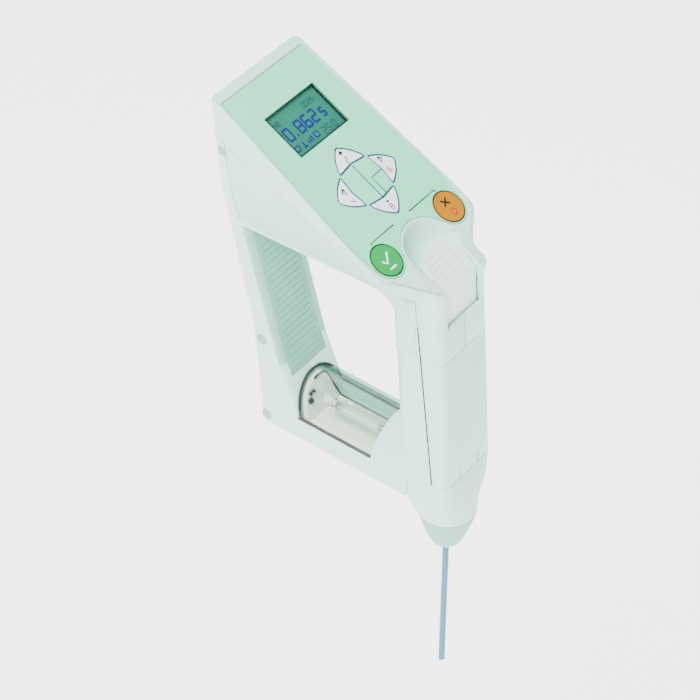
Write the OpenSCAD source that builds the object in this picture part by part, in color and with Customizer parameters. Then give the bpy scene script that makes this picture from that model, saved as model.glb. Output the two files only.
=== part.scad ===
// Portable density meter: a hand-held loop with a display head, a thumb pump and a glass measuring cell.
// Millimetres. X is the user's right, Y points away from the user, Z is up along the sampling tube.
// The origin is the tip of the sampling tube.

/* [Sampling tube] */
// Length of the tube below the nozzle
tube_len = 74.4; // [40:0.1:120]
// Outside diameter of the tube
tube_od = 3; // [2:0.1:4]
// Bore of the tube
tube_bore = 1.4; // [1:0.1:1.6]

/* [Grip] */
// Width of the grip, the arm and the column
grip_w = 36; // [34:0.1:39]
// Depth of the grip from the user side to the finger side
grip_d = 28; // [27.4:0.1:31]
// Corner radius on the user side
grip_user_r = 4; // [3:0.1:7]
// Corner radius on the finger side
grip_finger_r = 10; // [6:0.1:12]
// Lean of the grip axis away from the user, in degrees
grip_lean = 3.8; // [2:0.1:5]
// Wall of the casing
wall = 2; // [1.6:0.1:2.2]
// Gap left in the seams between casing pieces
seam = 0.25; // [0.2:0.01:0.4]

/* [Grip stack] */
// Height of the nozzle cap
nozzle_h = 20.2; // [16:0.1:24]
// Radius of the nozzle cap where it meets the nose
nozzle_r = 13.5; // [12:0.1:14]
// Height of the lower edge of the grip cover above the tube's exit
cover_z = 47.5; // [44:0.1:49]
// Length of the grip cover
cover_len = 67.5; // [66:0.1:70]
// Height of the collar above the grip cover
collar_h = 17; // [15:0.1:18]
// Height of the skirt between the collar and the head
skirt_h = 12.6; // [11:0.1:15]
// Distance of the side seam from the grip axis, halfway up
seam_back = 3.8; // [2:0.1:5]
// Tilt of the side seam against the grip axis, in degrees
seam_tilt = 2.7; // [0:0.1:4]
// Width of the snap tab on the grip cover
tab_w = 14; // [10:0.5:18]
// Height of the slits beside the snap tab
tab_h = 5; // [3:0.1:7]
// Number of finger ribs on each side of the grip
rib_count = 7; // [3:1:9]
// Spacing of the finger ribs
rib_pitch = 3; // [2.5:0.1:3.4]

/* [Lower arm] */
// Rise of the arm towards the column, in degrees
arm_slope = 5; // [3:0.1:6]
// Distance from the tube to the end of the cell window
arm_y = 30; // [29:0.1:33]
// Height of the arm's axis at that end of the window, above the nozzle's tip
arm_rise = 47.6; // [46.6:0.1:49.6]
// Depth of the arm below its axis
arm_drop = 11.4; // [11:0.1:13]
// Distance of the arch's centre below the arm's axis
arch_drop = 3.5; // [2:0.1:4]

/* [Column] */
// Distance from the tube to the inner face of the column, at the kink
column_y = 78.7; // [77:0.1:81]
// Height of the kink in the inner face above the arch centre
kink_rise = 28; // [25:0.1:31]
// Depth of the column at the kink
column_d = 14.2; // [13:0.1:16]
// Lean of the inner face above the kink, in degrees
column_lean = 15.56; // [14:0.01:17]
// Depth of the column at the head
column_top_d = 8.4; // [8:0.1:10]
// Corner radius of the column
column_r = 3; // [2:0.1:4]
// Width of the ruled label
label_w = 26; // [20:0.5:28]
// Length of the ruled label
label_len = 68; // [40:1:72]

/* [Head] */
// Tilt of the panel towards the user, in degrees
panel_tilt = 31; // [29:0.1:33]
// Distance from the tube to the middle of the display
lcd_y = 76.8; // [75:0.1:79]
// Height of the middle of the display above the head's underside at the tube
panel_rise = 55.1; // [53:0.1:59]
// Distance from the middle of the display to the far edge of the panel
head_far = 33; // [32:0.1:36]
// Width of the head at the far edge
head_far_w = 61.5; // [57:0.1:64]
// Width of the head beside the round keys
head_key_w = 71; // [70:0.1:75]
// Thickness of the panel deck
deck_t = 2.5; // [2:0.1:3]
// Thickness of the bar that closes the head from below
bar_t = 3; // [2.5:0.1:4]

/* [Display and keys] */
// Width of the display
lcd_w = 34.2; // [30:0.1:38]
// Height of the display
lcd_h = 22.1; // [18:0.1:24]
// Thickness of the overlay film
film_t = 0.5; // [0.3:0.05:0.6]
// Radius of the two round keys
round_key_r = 7.75; // [6.5:0.05:8]
// Distance of the round keys from the side of the head
round_key_side = 12.2; // [11.5:0.1:13]
// Distance of the round keys from the middle of the display
round_key_s = 67; // [66:0.1:68]
// Distance of the four arrow keys' centre from the middle of the display
arrows_s = 36.1; // [35:0.1:37]
// Reach of the upper and lower arrow keys from their centre
arrow_reach = 19; // [18:0.1:20]
// Reach of the left and right arrow keys from their centre
arrow_side_reach = 20.4; // [19:0.1:21]
// Travel of the keys
key_travel = 0.5; // [0.2:0.05:0.6]

/* [Thumb lever and pump] */
// Width of the thumb lever
lever_w = 24.6; // [23:0.1:25]
// Slope of the thumb pad against the grip axis, in degrees
pad_slope = 42; // [38:0.1:45]
// Height of the pad's front edge above the collar
pad_front_h = 16.5; // [15:0.1:18]
// Travel of the thumb lever
lever_travel = 12; // [8:0.1:12.5]
// Distance of the pump axis from the grip axis, on the user side
pump_y = 4.2; // [4:0.05:4.4]
// Bore of the pump barrel
pump_bore = 12; // [10:0.1:12.2]
// Wall of the pump barrel
barrel_wall = 1.2; // [0.8:0.05:1.3]
// Diameter of the piston rod
rod_d = 5; // [3:0.1:6]

/* [Measuring cell] */
// Wall of the clear window
window_t = 1.6; // [1.2:0.1:1.8]
// Outside diameter of the glass tube
glass_od = 3.2; // [2:0.1:4]
// Distance between the two legs of the glass tube
leg_gap = 9; // [8:0.1:12]
// Length of the legs inside the window
leg_len = 25; // [18:0.1:25.5]

/* [Batteries] */
// Diameter of a cell
battery_d = 10.5; // [9.5:0.1:10.5]
// Length of a cell
battery_len = 44.5; // [40:0.1:44.5]

/* [Hidden] */
$fn = 64;

// A length past every face, for cutting bodies
big = 400;
// Overlap that keeps cuts and joins clean
eps = 0.5;
// Close clearance between pieces that are fixed together
snug = 0.1;
// Step that keeps faces of joined forms from lying in one plane
flush = 0.15;
// Clearance of a shaft in its bore
running = 0.05;
// Clearance of a piece that slides past casing walls
slip = 0.4;

half_w = grip_w / 2;
half_d = grip_d / 2;
collar_z = cover_z + cover_len;
skirt_z = collar_z + collar_h;
arm_z = tube_len + arm_rise;
column_z = arm_z + kink_rise;
head_z = tube_len + skirt_z + skirt_h;
lcd_z = head_z + panel_rise;
round_key_x = head_key_w / 2 - round_key_side;
lean_rise = tan(grip_lean);

// Slope of the underside of the head
head_slope = 2.3;
// Rounding of the panel's edge
head_edge_r = 1.2;
// How far the front of the head bulges below its far edge
head_bulge = 2.4;

// White casing and other colours
white = "#e8f4f0";
cream = "#e6e6cc";
mint = "#caf5e0";
steel = "#b9bfc2";
dark = "#23332f";

// Distance from a point on the panel to the ground plane
function panel_z(y) = lcd_z + (y - lcd_y) * tan(panel_tilt);
function head_base_z(y) = head_z + y * tan(head_slope);
function along_panel(s) = lcd_y - s * cos(panel_tilt);

// Points on curves
function unit(v) = v / norm(v);
function mix(a, b, t) = a + (b - a) * t;
function turned(a) = a > 180 ? a - 360 : (a < -180 ? a + 360 : a);

// Points from a to just before b, bowed outwards
function bow(a, b, rise) =
    let (out = unit([b.y - a.y, a.x - b.x]))
    [for (i = [0:5]) mix(a, b, i / 6) + out * rise * sin(180 * i / 6)];

// The arc that rounds corner b of the path a, b, c
function round_corner(a, b, c, r, n) =
    let (
        u = unit(a - b),
        v = unit(c - b),
        half = acos(u * v) / 2,
        centre = b + unit(u + v) * r / sin(half),
        from = b + u * r / tan(half) - centre,
        to = b + v * r / tan(half) - centre,
        start = atan2(from.y, from.x),
        sweep = turned(atan2(to.y, to.x) - start)
    )
    [for (i = [0:n]) centre + r * [cos(start + sweep * i / n), sin(start + sweep * i / n)]];

// A corner on a straight run keeps as many points as a rounded one
function straight_corner(a, c, b, r, n) =
    [for (i = [0:n]) b + unit(c - a) * r * (i / n - 0.5)];

function flat(p) = [p.x, p.y];

// A closed outline from corners [x, y, radius]
function round_path(corners, n) =
    let (count = len(corners))
    [
        for (i = [0:count - 1])
        let (
            a = flat(corners[(i + count - 1) % count]),
            b = flat(corners[i]),
            c = flat(corners[(i + 1) % count]),
            r = corners[i].z,
            straight = unit(b - a) * unit(c - b) > 0.9999
        )
        each (straight ? straight_corner(a, c, b, r, n) : round_corner(a, b, c, r, n))
    ];

// Moves each point of an outline inwards
function inset(ring, d) =
    let (count = len(ring))
    [
        for (i = [0:count - 1])
        let (along = unit(ring[(i + 1) % count] - ring[(i + count - 1) % count]))
        ring[i] - d * [along.y, -along.x]
    ];

function mirrored(corners) = [for (i = [len(corners) - 1:-1:0]) [-corners[i].x, corners[i].y, corners[i].z]];

// A solid through a stack of rings of equal length
module loft(rings) {
    n = len(rings[0]);
    last = len(rings) - 1;
    sides = [
        for (j = [0:last - 1], i = [0:n - 1])
        let (a = j * n + i, b = j * n + (i + 1) % n)
        each [[a, a + n, b + n], [a, b + n, b]]
    ];
    ends = [[for (i = [0:n - 1]) i], [for (i = [n - 1:-1:0]) last * n + i]];
    polyhedron([for (ring = rings) each ring], concat(sides, ends), convexity = 8);
}

// A round hose through the points of a path
module hose(path, r, sides) {
    last = len(path) - 1;
    loft([
        for (i = [0:last])
        let (
            along = unit(path[min(i + 1, last)] - path[max(i - 1, 0)]),
            across = unit(cross(along, [1, 0.2, 0])),
            other = cross(along, across)
        )
        [
            for (k = [0:sides - 1])
            let (a = 360 * k / sides)
            path[i] + r * (across * cos(a) + other * sin(a))
        ]
    ]);
}

// Points on a smooth curve through four controls
function bezier(p, n) =
    [
        for (i = [0:n])
        let (t = i / n, s = 1 - t)
        s * s * s * p[0] + 3 * s * s * t * p[1] + 3 * s * t * t * p[2] + t * t * t * p[3]
    ];

// Frames of the grip, the arm, the panel, the head's underside and the label
module in_grip() translate([0, 0, tube_len]) rotate([-grip_lean, 0, 0]) children();
module in_arm() translate([0, arm_y, arm_z]) rotate([arm_slope, 0, 0]) children();
module on_panel() translate([0, lcd_y, lcd_z]) rotate([panel_tilt, 0, 0]) children();
module under_head() translate([0, 0, head_z]) rotate([head_slope, 0, 0]) children();
module on_column() translate([0, column_y, column_z]) rotate([-column_lean, 0, 0]) children();
module along_arm(from, to) translate([0, to, 0]) rotate([90, 0, 0]) linear_extrude(to - from) children();

function grip_point(p) =
    let (c = cos(grip_lean), s = sin(grip_lean))
    [p.x, p.y * c + p.z * s, tube_len - p.y * s + p.z * c];
function arm_point(p) =
    let (c = cos(arm_slope), s = sin(arm_slope))
    [p.x, arm_y + p.y * c - p.z * s, arm_z + p.y * s + p.z * c];

// Section of the grip
function grip_ring(in) =
    round_path([
        [half_w - in, in - half_d, max(grip_user_r - in, 1)],
        [half_w - in, half_d - in, max(grip_finger_r - in, 1)],
        [in - half_w, half_d - in, max(grip_finger_r - in, 1)],
        [in - half_w, in - half_d, max(grip_user_r - in, 1)]
    ], corner_points - 1);

module grip_bar(in, from, to) {
    in_grip() translate([0, 0, from]) linear_extrude(to - from) polygon(grip_ring(in));
}

// The half space past the middle plane, for a piece on one side
module beyond_middle(side) {
    translate([side > 0 ? seam / 2 - big : -seam / 2, -big, -big]) cube([big, 2 * big, 2 * big]);
}

// The half space on the finger side of the side seam, moved by a gap
module finger_side(gap) {
    in_grip()
        translate([0, gap - seam_back, (cover_z + skirt_z) / 2])
        rotate([-seam_tilt, 0, 0])
        translate([-big / 2, 0, -big / 2])
        cube([big, big, big]);
}

// The grip's section with more points along its four flats, so that it can turn into a circle
corner_points = 9;
flat_bow = 0.06;
function nose_section(in) =
    let (ring = grip_ring(in), count = len(ring))
    [
        for (i = [0:count - 1])
        let (last = i % corner_points == corner_points - 1)
        each (last ? bow(ring[i], ring[(i + 1) % count], flat_bow) : [ring[i]])
    ];

// Nose between the grip and the nozzle cap
function nose_ring(in, z, round_share, r) =
    [
        for (p = nose_section(in))
        let (angle = atan2(p.y, p.x), q = mix(p, (r - in) * [cos(angle), sin(angle)], round_share))
        grip_point([q.x, q.y, z])
    ];
nose_mid_z = cover_z - 13;
nose_low_z = nozzle_h + 6.5;
nose_end_z = nozzle_h + seam;
nose_mid_r = nozzle_r + 3;
nose_low_r = nozzle_r + 1.7;

module nose_form(in) {
    foot_z = tube_len + nose_end_z - (in > 0 ? eps : 0);
    foot = [
        for (p = nose_section(in))
        let (angle = atan2(p.y, p.x))
        [(nozzle_r - in) * cos(angle), (nozzle_r - in) * sin(angle), foot_z]
    ];
    loft([
        foot,
        nose_ring(in, nose_low_z, 0.85, nose_low_r),
        nose_ring(in, nose_mid_z, 0.35, nose_mid_r),
        nose_ring(in > 0 ? in + flush : 0, cover_z + (in > 0 ? eps : 0), 0, nozzle_r)
    ]);
}

// Column: depth ranges at four heights
column_into_head = 3;
head_top_z = head_base_z(column_y + 24) + column_into_head;
column_top_y = column_y + (head_top_z - column_z) * tan(column_lean);
column_foot_z = arm_z - 18;
column_foot_in = 18.3;
column_foot_out = 4.7;
bend_h = 22;
bend_out = 2.4;
column_levels = [
    [column_foot_z, column_y - column_foot_in, column_y + column_d - column_foot_out],
    [column_z, column_y, column_y + column_d],
    [column_z + bend_h, column_y + bend_h * tan(column_lean), column_y + column_d + bend_out],
    [head_top_z, column_top_y, column_top_y + column_top_d]
];
module column_form(in) {
    r = max(column_r - in, 0.6);
    loft([
        for (level = column_levels)
        let (
            outline = round_path([
                [half_w - in, level.y + in, r],
                [half_w - in, level.z - in, r],
                [in - half_w, level.z - in, r],
                [in - half_w, level.y + in, r]
            ], 5)
        )
        [for (p = outline) [p.x, p.y, level.x]]
    ]);
}

// Parts of the column between the arm's floor and the head
module column_body(in) {
    intersection() {
        column_form(in);
        in_arm() translate([-big / 2, -big / 2, in + flush - arm_drop]) cube([big, big, big]);
        under_head() translate([-big / 2, -big / 2, (in > 0 ? eps : 0) - big]) cube([big, big, big]);
    }
}

// Section of the arm: a square trough under a round arch
module arm_section(in) {
    r = half_w - flush - in;
    intersection() {
        union() {
            translate([0, -arch_drop]) circle(r = r);
            translate([-r, in - arm_drop]) square([2 * r, arm_drop - arch_drop - in]);
        }
        translate([-half_w, in - arm_drop]) square([grip_w, grip_w + arm_drop]);
    }
}
arm_back = -20;
arm_front = 54;
gasket_t = 0.5;
window_z = -0.6;
module window_space() {
    in_arm() translate([-big / 2, 0, window_z - gasket_t]) cube([big, arm_front, big]);
}

// Fillet under the head where the fingers close round the grip; it grows out of the grip's round corners
hook_r = 11;
hook_in = 0.3;
hook_edge_r = 3;
hook_turn = 15;
hook_y = half_d + (head_z - tube_len) * lean_rise;
function hook_ring(angle) =
    let (
        z = hook_r * (sin(angle) - 1) - bar_t + flush,
        face = hook_y + z * tan(grip_lean + head_slope) - hook_in,
        reach = face + hook_r * (1 - cos(angle)),
        r = mix(grip_finger_r, hook_edge_r, sin(angle)),
        outline = round_path([
            [half_w - hook_in, face - grip_finger_r, 1],
            [half_w - hook_in, reach, r],
            [hook_in - half_w, reach, r],
            [hook_in - half_w, face - grip_finger_r, 1]
        ], corner_points - 1)
    )
    [for (p = outline) [p.x, p.y, z]];
module hook() {
    top = [for (p = hook_ring(90)) p + [0, 0, eps]];
    under_head() loft(concat([for (angle = [0:hook_turn:90]) hook_ring(angle)], [top]));
}

// Screws that hold the shells together, as [y, z]
shell_screws = [[column_y + 10.3, column_z + 11.5], [column_y + 8.1, arm_z - 2.9]];
screw_r = 1.4;
screw_head_r = 2.4;
screw_head_h = 2.2;
plug_r = 2.6;
plug_t = 1.2;
boss_r = 3.6;
plug_seat = 4.5;

// A round bar along X through a point [y, z]
module across(at, from, to, r) {
    translate([from, at.x, at.y]) rotate([0, 90, 0]) cylinder(r = r, h = to - from);
}

// Ribs in the grip that hold the pump barrel
barrel_r = pump_bore / 2 + barrel_wall;
barrel_z = cover_z + 2.5;
barrel_top_z = collar_z - 3;
saddle_t = 2;
module saddle(z) {
    in_grip() translate([0, 0, z]) linear_extrude(saddle_t) difference() {
        intersection() {
            polygon(grip_ring(wall - eps));
            translate([-half_w, 0.6]) square([grip_w, half_d]);
        }
        translate([0, -pump_y]) circle(r = barrel_r + snug);
    }
}

// Ridges on the finger side of the grip
rib_r = 0.7;
rib_from = -0.9;
module finger_ribs() {
    for (i = [0:rib_count - 1])
        in_grip() translate([0, 0, collar_z + 0.5 + i * rib_pitch]) intersection() {
            translate([0, 0, -rib_r]) linear_extrude(2 * rib_r) difference() {
                polygon(grip_ring(-0.45));
                polygon(grip_ring(eps));
            }
            translate([-big / 2, rib_from, -rib_r]) cube([big, big, 2 * rib_r]);
        }
}

module shell_outside() {
    column_body(0);
    difference() {
        in_arm() along_arm(arm_back, arm_front) arm_section(0);
        window_space();
        in_grip() translate([-big / 2, -big, -big / 2]) cube([big, big, big]);
    }
    intersection() {
        grip_bar(flush / 4, cover_z - flush / 2, skirt_z + big / 8);
        finger_side(seam / 2);
        under_head() translate([-big / 2, -big / 2, -big]) cube([big, big, big]);
    }
    nose_form(0);
    finger_ribs();
    under_head() translate([flush - half_w, hook_y - half_d, -bar_t])
        cube([grip_w - 2 * flush, column_top_y + 1 - hook_y + half_d, bar_t]);
    hook();
}

module shell_inside() {
    column_body(wall);
    difference() {
        in_arm() along_arm(arm_back, arm_front) arm_section(wall);
        column_form(0);
    }
    grip_bar(wall, cover_z - eps, skirt_z + big / 8);
    nose_form(wall);
}

module label_space(margin, depth) {
    on_column()
        translate([-label_w / 2 - margin, -1, 1.5 - margin])
        cube([label_w + 2 * margin, 1 + depth, label_len + 2 * margin]);
}
label_t = 0.5;

// One half of the loop; side is -1 for the left and 1 for the right
module shell(side) {
    color(white) difference() {
        union() {
            difference() {
                shell_outside();
                difference() {
                    shell_inside();
                    for (at = shell_screws) across(at, -half_w, half_w, boss_r);
                    saddle(barrel_z + 8);
                    saddle(barrel_top_z - 10);
                }
            }
        }
        label_space(snug, label_t + snug);
        beyond_middle(side);
        for (at = shell_screws) {
            across(at, -half_w - 1, plug_seat - half_w + screw_head_h, plug_r + snug);
            across(at, -half_w, half_w - wall - 2, screw_r + running);
        }
    }
}
module left_shell() shell(-1);
module right_shell() shell(1);

// Head: outlines of its underside and of its panel, from the user to the far end on the right
head_far_y = lcd_y + head_far * cos(panel_tilt);
head_user_y = (head_z - tube_len) * lean_rise - half_d;
key_y = along_panel(round_key_s);
lever_back = 3.7;
lever_back_y = lever_back + slip + wall + (panel_z(key_y) - tube_len) * lean_rise;
// The head keeps its full width from behind the round keys to in front of them
key_back = 6.5;
key_front = 5.2;
flare_front = 15.5;
head_far_r = 3.5;
head_top_side = [
    [half_w + 0.7, head_user_y - 0.8, grip_user_r],
    [half_w + 0.7, key_y - flare_front, 6],
    [head_key_w / 2 - 0.2, key_y - key_front, 4.5],
    [head_key_w / 2, key_y + key_back, 14],
    [head_far_w / 2, head_far_y, head_far_r]
];
head_base_side = [
    [half_w, head_user_y, grip_user_r],
    [half_w, key_y - flare_front, 2],
    [half_w, key_y - key_front, 2],
    [half_w, key_y + key_back, 2],
    [half_w, head_far_y + head_bulge, head_far_r]
];

// The cavity starts behind the thumb lever
cavity_y = lever_back_y - 0.4;
cavity_share = (cavity_y - key_y + key_front) / (key_back + key_front);
cavity_x = mix(head_top_side[2].x, head_top_side[3].x, cavity_share);
cavity_top_side = [[cavity_x, cavity_y, 4], head_top_side[3], head_top_side[4]];
cavity_base_side = [[half_w, cavity_y, 4], head_base_side[3], head_base_side[4]];

function both_sides(side) = round_path(concat(side, mirrored(side)), 5);

// The flare is full near the panel and draws in below
function head_share(t) = pow(t, 0.7);
function head_ring(low, high, t, drop) =
    [
        for (i = [0:len(low) - 1])
        let (
            x = mix(low[i].x, high[i].x, head_share(t)),
            y = mix(low[i].y, high[i].y, t),
            z = mix(head_base_z(low[i].y), panel_z(high[i].y) - drop, t)
        )
        [x, y, z]
    ];
head_heights = [0, 0.2, 0.45, 0.72];
module head_form() {
    low = both_sides(head_base_side);
    high = both_sides(head_top_side);
    loft(concat(
        [for (t = head_heights) head_ring(low, high, t, 0)],
        [head_ring(low, high, 1, head_edge_r)],
        [for (share = [0.3, 1])
            head_ring(low, inset(high, head_edge_r * share), 1, head_edge_r * (1 - share) * 0.45)]
    ));
}
module head_cavity() {
    low = inset(both_sides(cavity_base_side), wall);
    high = inset(both_sides(cavity_top_side), wall);
    foot = [for (p = head_ring(low, high, 0, deck_t)) p - [0, 0, eps]];
    loft(concat([foot], [for (t = [0.2, 0.45, 0.72, 1]) head_ring(low, high, t, deck_t)]));
}

// Cup behind the thumb lever
cup_s = round_key_s + 9.4;
cup_rim_r = 14.6;
cup_depth = 9;
cup_r = (cup_rim_r * cup_rim_r + cup_depth * cup_depth) / (2 * cup_depth);
module cup(grow) on_panel() translate([0, -cup_s, cup_r - cup_depth]) sphere(r = cup_r + grow);

// Plan of the thumb lever along the grip axis
lever_front = half_d - wall;
lever_mid = -5.2;
module lever_plan(grow) {
    reach = lever_back - lever_mid;
    polygon(concat(
        [for (a = [0:10:180])
            [(lever_w / 2 + grow) * cos(a), lever_mid + (reach + grow) * sin(a)]],
        [[-lever_w / 2 - grow, -lever_front - grow], [lever_w / 2 + grow, -lever_front - grow]]
    ));
}
pad_z = skirt_z + pad_front_h;
slot_top = pad_z + 40;
lever_gap = slip + 0.2;
module lever_slot() {
    in_grip() translate([0, 0, skirt_z - 1]) {
        linear_extrude(slot_top - skirt_z) lever_plan(lever_gap);
        translate([-lever_w / 2 - lever_gap, -big, 0])
            cube([lever_w + 2 * lever_gap, big - lever_front + 1, big]);
    }
}

// Skirt of the head on the user side, down to the collar
module head_skirt() {
    difference() {
        intersection() {
            grip_bar(0.05, skirt_z + seam / 2, skirt_z + big / 8);
            under_head() translate([-big / 2, -big / 2, -big]) cube([big, big, big + eps]);
        }
        grip_bar(wall, skirt_z - 1, skirt_z + big / 8);
        finger_side(-seam / 2);
    }
}

// Film and its recess, in the panel's plane
film_edge = 1.6;
film_far = head_far - 5.5;
film_key_r = round_key_r + 1.15;
film_cup_r = cup_rim_r + 1;
module film_outline(grow) {
    difference() {
        union() {
            polygon([
                [head_far_w / 2 - film_edge - 0.6 + grow, film_far + grow],
                [-head_far_w / 2 + film_edge + 0.6 - grow, film_far + grow],
                [-head_key_w / 2 + film_edge + 0.5 - grow, 14 - round_key_s],
                [-round_key_x - film_key_r - grow, -round_key_s],
                [-round_key_x, -round_key_s - 3.2 - grow],
                [round_key_x, -round_key_s - 3.2 - grow],
                [round_key_x + film_key_r + grow, -round_key_s],
                [head_key_w / 2 - film_edge - 0.5 + grow, 14 - round_key_s]
            ]);
            for (side = [-1, 1])
                translate([side * round_key_x, -round_key_s]) circle(r = film_key_r + grow);
        }
        translate([0, -cup_s]) circle(r = film_cup_r - grow);
    }
}

// Arrow keys: a blunt tip, bowed sides and a notched base
function arrow_outline(tip, base, spread) =
    let (
        out = unit([tip - base, spread]),
        side = [spread, base + tip] / 2 + arrow_bow * out
    )
    round_path([
        [spread, base, arrow_corner_r],
        [side.x, side.y, arrow_side_r],
        [0, tip + arrow_tip_r * arrow_blunt, arrow_tip_r],
        [-side.x, side.y, arrow_side_r],
        [-spread, base, arrow_corner_r],
        [0, base + arrow_notch, arrow_corner_r]
    ], 5);
arrow_bow = 1.6;
arrow_corner_r = 0.8;
arrow_side_r = 18;
arrow_tip_r = 2.2;
// Height that rounding takes off the tip, as a share of its radius
arrow_blunt = 0.25;
arrow_base = 8.4;
arrow_spread = 9.6;
arrow_side_base = 9.3;
arrow_side_spread = 8.5;
arrow_notch = 1.2;
arrow_turns = [0, 90, 180, -90];
arrow_stem = (arrow_base + arrow_reach) / 2 - 1;
module arrow_key_plan(turn, grow) {
    sideways = abs(turn) == 90;
    translate([0, -arrows_s])
        rotate([0, 0, turn])
        offset(delta = grow)
        polygon(arrow_outline(
            sideways ? arrow_side_reach : arrow_reach,
            sideways ? arrow_side_base : arrow_base,
            sideways ? arrow_side_spread : arrow_spread
        ));
}

// Heights below the panel's surface
key_gap = 0.25;
lcd_rim = 1;
module_rim = 3;
stem_r = 2;
board_top = deck_t + 4.3;
board_t = 1.6;
dome_h = 0.7;
key_foot = board_top - dome_h - key_travel - 0.15;
// Main board, its posts and the screws that hold it
board_half = 25;
board_far = 22;
board_near = -58;
post_in = 3;
post_r = 2.5;
board_posts = [
    for (side = [-1, 1], y = [board_far - post_in - 2, board_near + post_in + 4])
    [side * (board_half - post_in), y]
];
board_screw_r = 0.9;
board_screw_head_r = 1.8;
board_screw_head_h = 1;
board_screw_grip = 3;

// Battery holder and its screw
holder_wall = 1.2;
battery_gap = 0.4;
contact_t = 0.4;
contact_gap = 0.5;
holder_w = 2 * battery_d + 2 * holder_wall + 2.6;
holder_d = battery_d + 1.7;
holder_front = head_far_y + head_bulge - 2 * wall;
holder_back = holder_front - holder_d;
holder_z = head_base_z(holder_front) + slip;
holder_h = battery_len + 2 * (holder_wall + contact_t) + contact_gap + snug;
holder_screw_in = 1.9;
holder_screw_drop = 8.5;
holder_screw = [holder_front - holder_screw_in, holder_z + holder_h - holder_screw_drop];
screw_block = 4.4;
holder_screw_share =
    (holder_screw.y - head_base_z(holder_screw.x))
    / (panel_z(holder_screw.x) - head_base_z(holder_screw.x));
head_plug_x = head_side_x(holder_screw.x, holder_screw_share) - 0.2;
door_w = holder_w - 2;
door_z = holder_z + 3;
door_h = holder_h - 4;

module door_space(gap) {
    translate([-door_w / 2 - gap, head_far_y - 6, door_z - gap])
        cube([door_w + 2 * gap, 20, door_h + 2 * gap]);
}

// Half width of the head's side wall at a distance y and a share t of its height
function head_side_x(y, t) =
    let (share = (y - key_y - key_back) / (head_far_y - key_y - key_back))
    mix(half_w, mix(head_key_w, head_far_w, share) / 2, head_share(t));

// Groove that runs up the side of the head in line with the column
groove_w = 0.9;
groove_depth = 0.7;
groove_y = column_top_y - 1;
groove_heights = [0, 0.15, 0.35, 0.55, 0.72];
module side_groove() {
    foot = head_base_z(groove_y);
    rise = panel_z(groove_y) - foot;
    inner = [for (t = groove_heights) [head_side_x(groove_y, t) - groove_depth, foot + t * rise]];
    outer = [for (i = [len(inner) - 1:-1:0]) inner[i] + [4, 0]];
    for (side = [0, 1]) mirror([side, 0, 0]) translate([0, groove_y + groove_w, 0]) rotate([90, 0, 0])
        linear_extrude(groove_w) polygon(concat(inner, outer));
}

module head_cover() {
    color(white) difference() {
        union() {
            head_form();
            head_skirt();
        }
        difference() {
            head_cavity();
            cup(wall);
            on_panel() for (at = board_posts)
                translate([at.x, at.y, -board_top]) cylinder(r = post_r, h = board_top);
            across(holder_screw, -head_key_w / 2, -holder_w / 2 - 0.3, plug_r + 1.2);
        }
        cup(0);
        lever_slot();
        on_panel() {
            translate([0, 0, -film_t - snug]) linear_extrude(5) film_outline(snug);
            translate([-lcd_w / 2 - lcd_rim, -lcd_h / 2 - lcd_rim, -deck_t - 1])
                cube([lcd_w + 2 * lcd_rim, lcd_h + 2 * lcd_rim, deck_t + 2]);
            for (turn = arrow_turns)
                translate([0, 0, -deck_t - 1]) linear_extrude(deck_t + 2) arrow_key_plan(turn, key_gap);
            for (side = [-1, 1]) translate([side * round_key_x, -round_key_s, -deck_t - 0.2])
                cylinder(r = round_key_r + key_gap, h = deck_t + 2);
            for (at = board_posts) translate([at.x, at.y, -board_top - 1])
                cylinder(r = board_screw_r, h = board_top - 1);
        }
        door_space(0.2);
        side_groove();
        across(holder_screw, -head_key_w / 2, -holder_w / 2 - screw_block, plug_r + snug);
        across(holder_screw, -head_key_w / 2, -holder_w / 2, screw_r + running);
    }
}

// Casing pieces on the user side of the grip
module user_wall(t, from, to) {
    difference() {
        grip_bar(0, from, to);
        grip_bar(t, from - 1, to + 1);
        finger_side(-seam / 2);
    }
}
module collar_half(side) {
    color(white) difference() {
        user_wall(wall - slip, collar_z + seam / 2, skirt_z - seam / 2);
        beyond_middle(side);
    }
}
module collar_left() collar_half(-1);
module collar_right() collar_half(1);

slit_w = 0.8;
module grip_cover() {
    color(white) difference() {
        user_wall(wall, cover_z + seam, collar_z - seam / 2);
        in_grip() for (side = [-1, 1]) translate([side * tab_w / 2 - slit_w / 2, -half_d - 1, cover_z - 1])
            cube([slit_w, wall + 2, tab_h + 1]);
    }
}

// Nozzle cap with the hole for the tube
tip_r = 4.4;
spigot_h = 2.5;
spigot_gap = 0.3;
cap_floor = 6;
// The tube stops short of the nozzle and goes on as a thinner neck
neck_d = tube_od - 1;
shoulder_z = tube_len - 0.4;
tube_top = tube_len + nozzle_h + 3;
module nozzle_cap() {
    color(white) translate([0, 0, tube_len]) rotate_extrude() polygon(concat(
        [[neck_d / 2 + running, 0], [tip_r, 0]],
        [for (i = [1:8]) let (t = i / 8)
            [mix(tip_r, nozzle_r, pow(t, 0.72)), nozzle_h * pow(t, 1.15)]],
        [
            [nozzle_r - wall - spigot_gap, nozzle_h],
            [nozzle_r - wall - spigot_gap, nozzle_h + spigot_h],
            [nozzle_r - 2 * wall, nozzle_h + spigot_h],
            [nozzle_r - 2 * wall, nozzle_h],
            [neck_d / 2 + wall, cap_floor],
            [neck_d / 2 + running, cap_floor]
        ]
    ));
}
module sampling_tube() {
    color("#8fc0ce") difference() {
        union() {
            cylinder(d = tube_od, h = shoulder_z);
            cylinder(d = neck_d, h = tube_top);
        }
        translate([0, 0, -1]) cylinder(d = tube_bore, h = tube_top + 2);
    }
}

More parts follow.
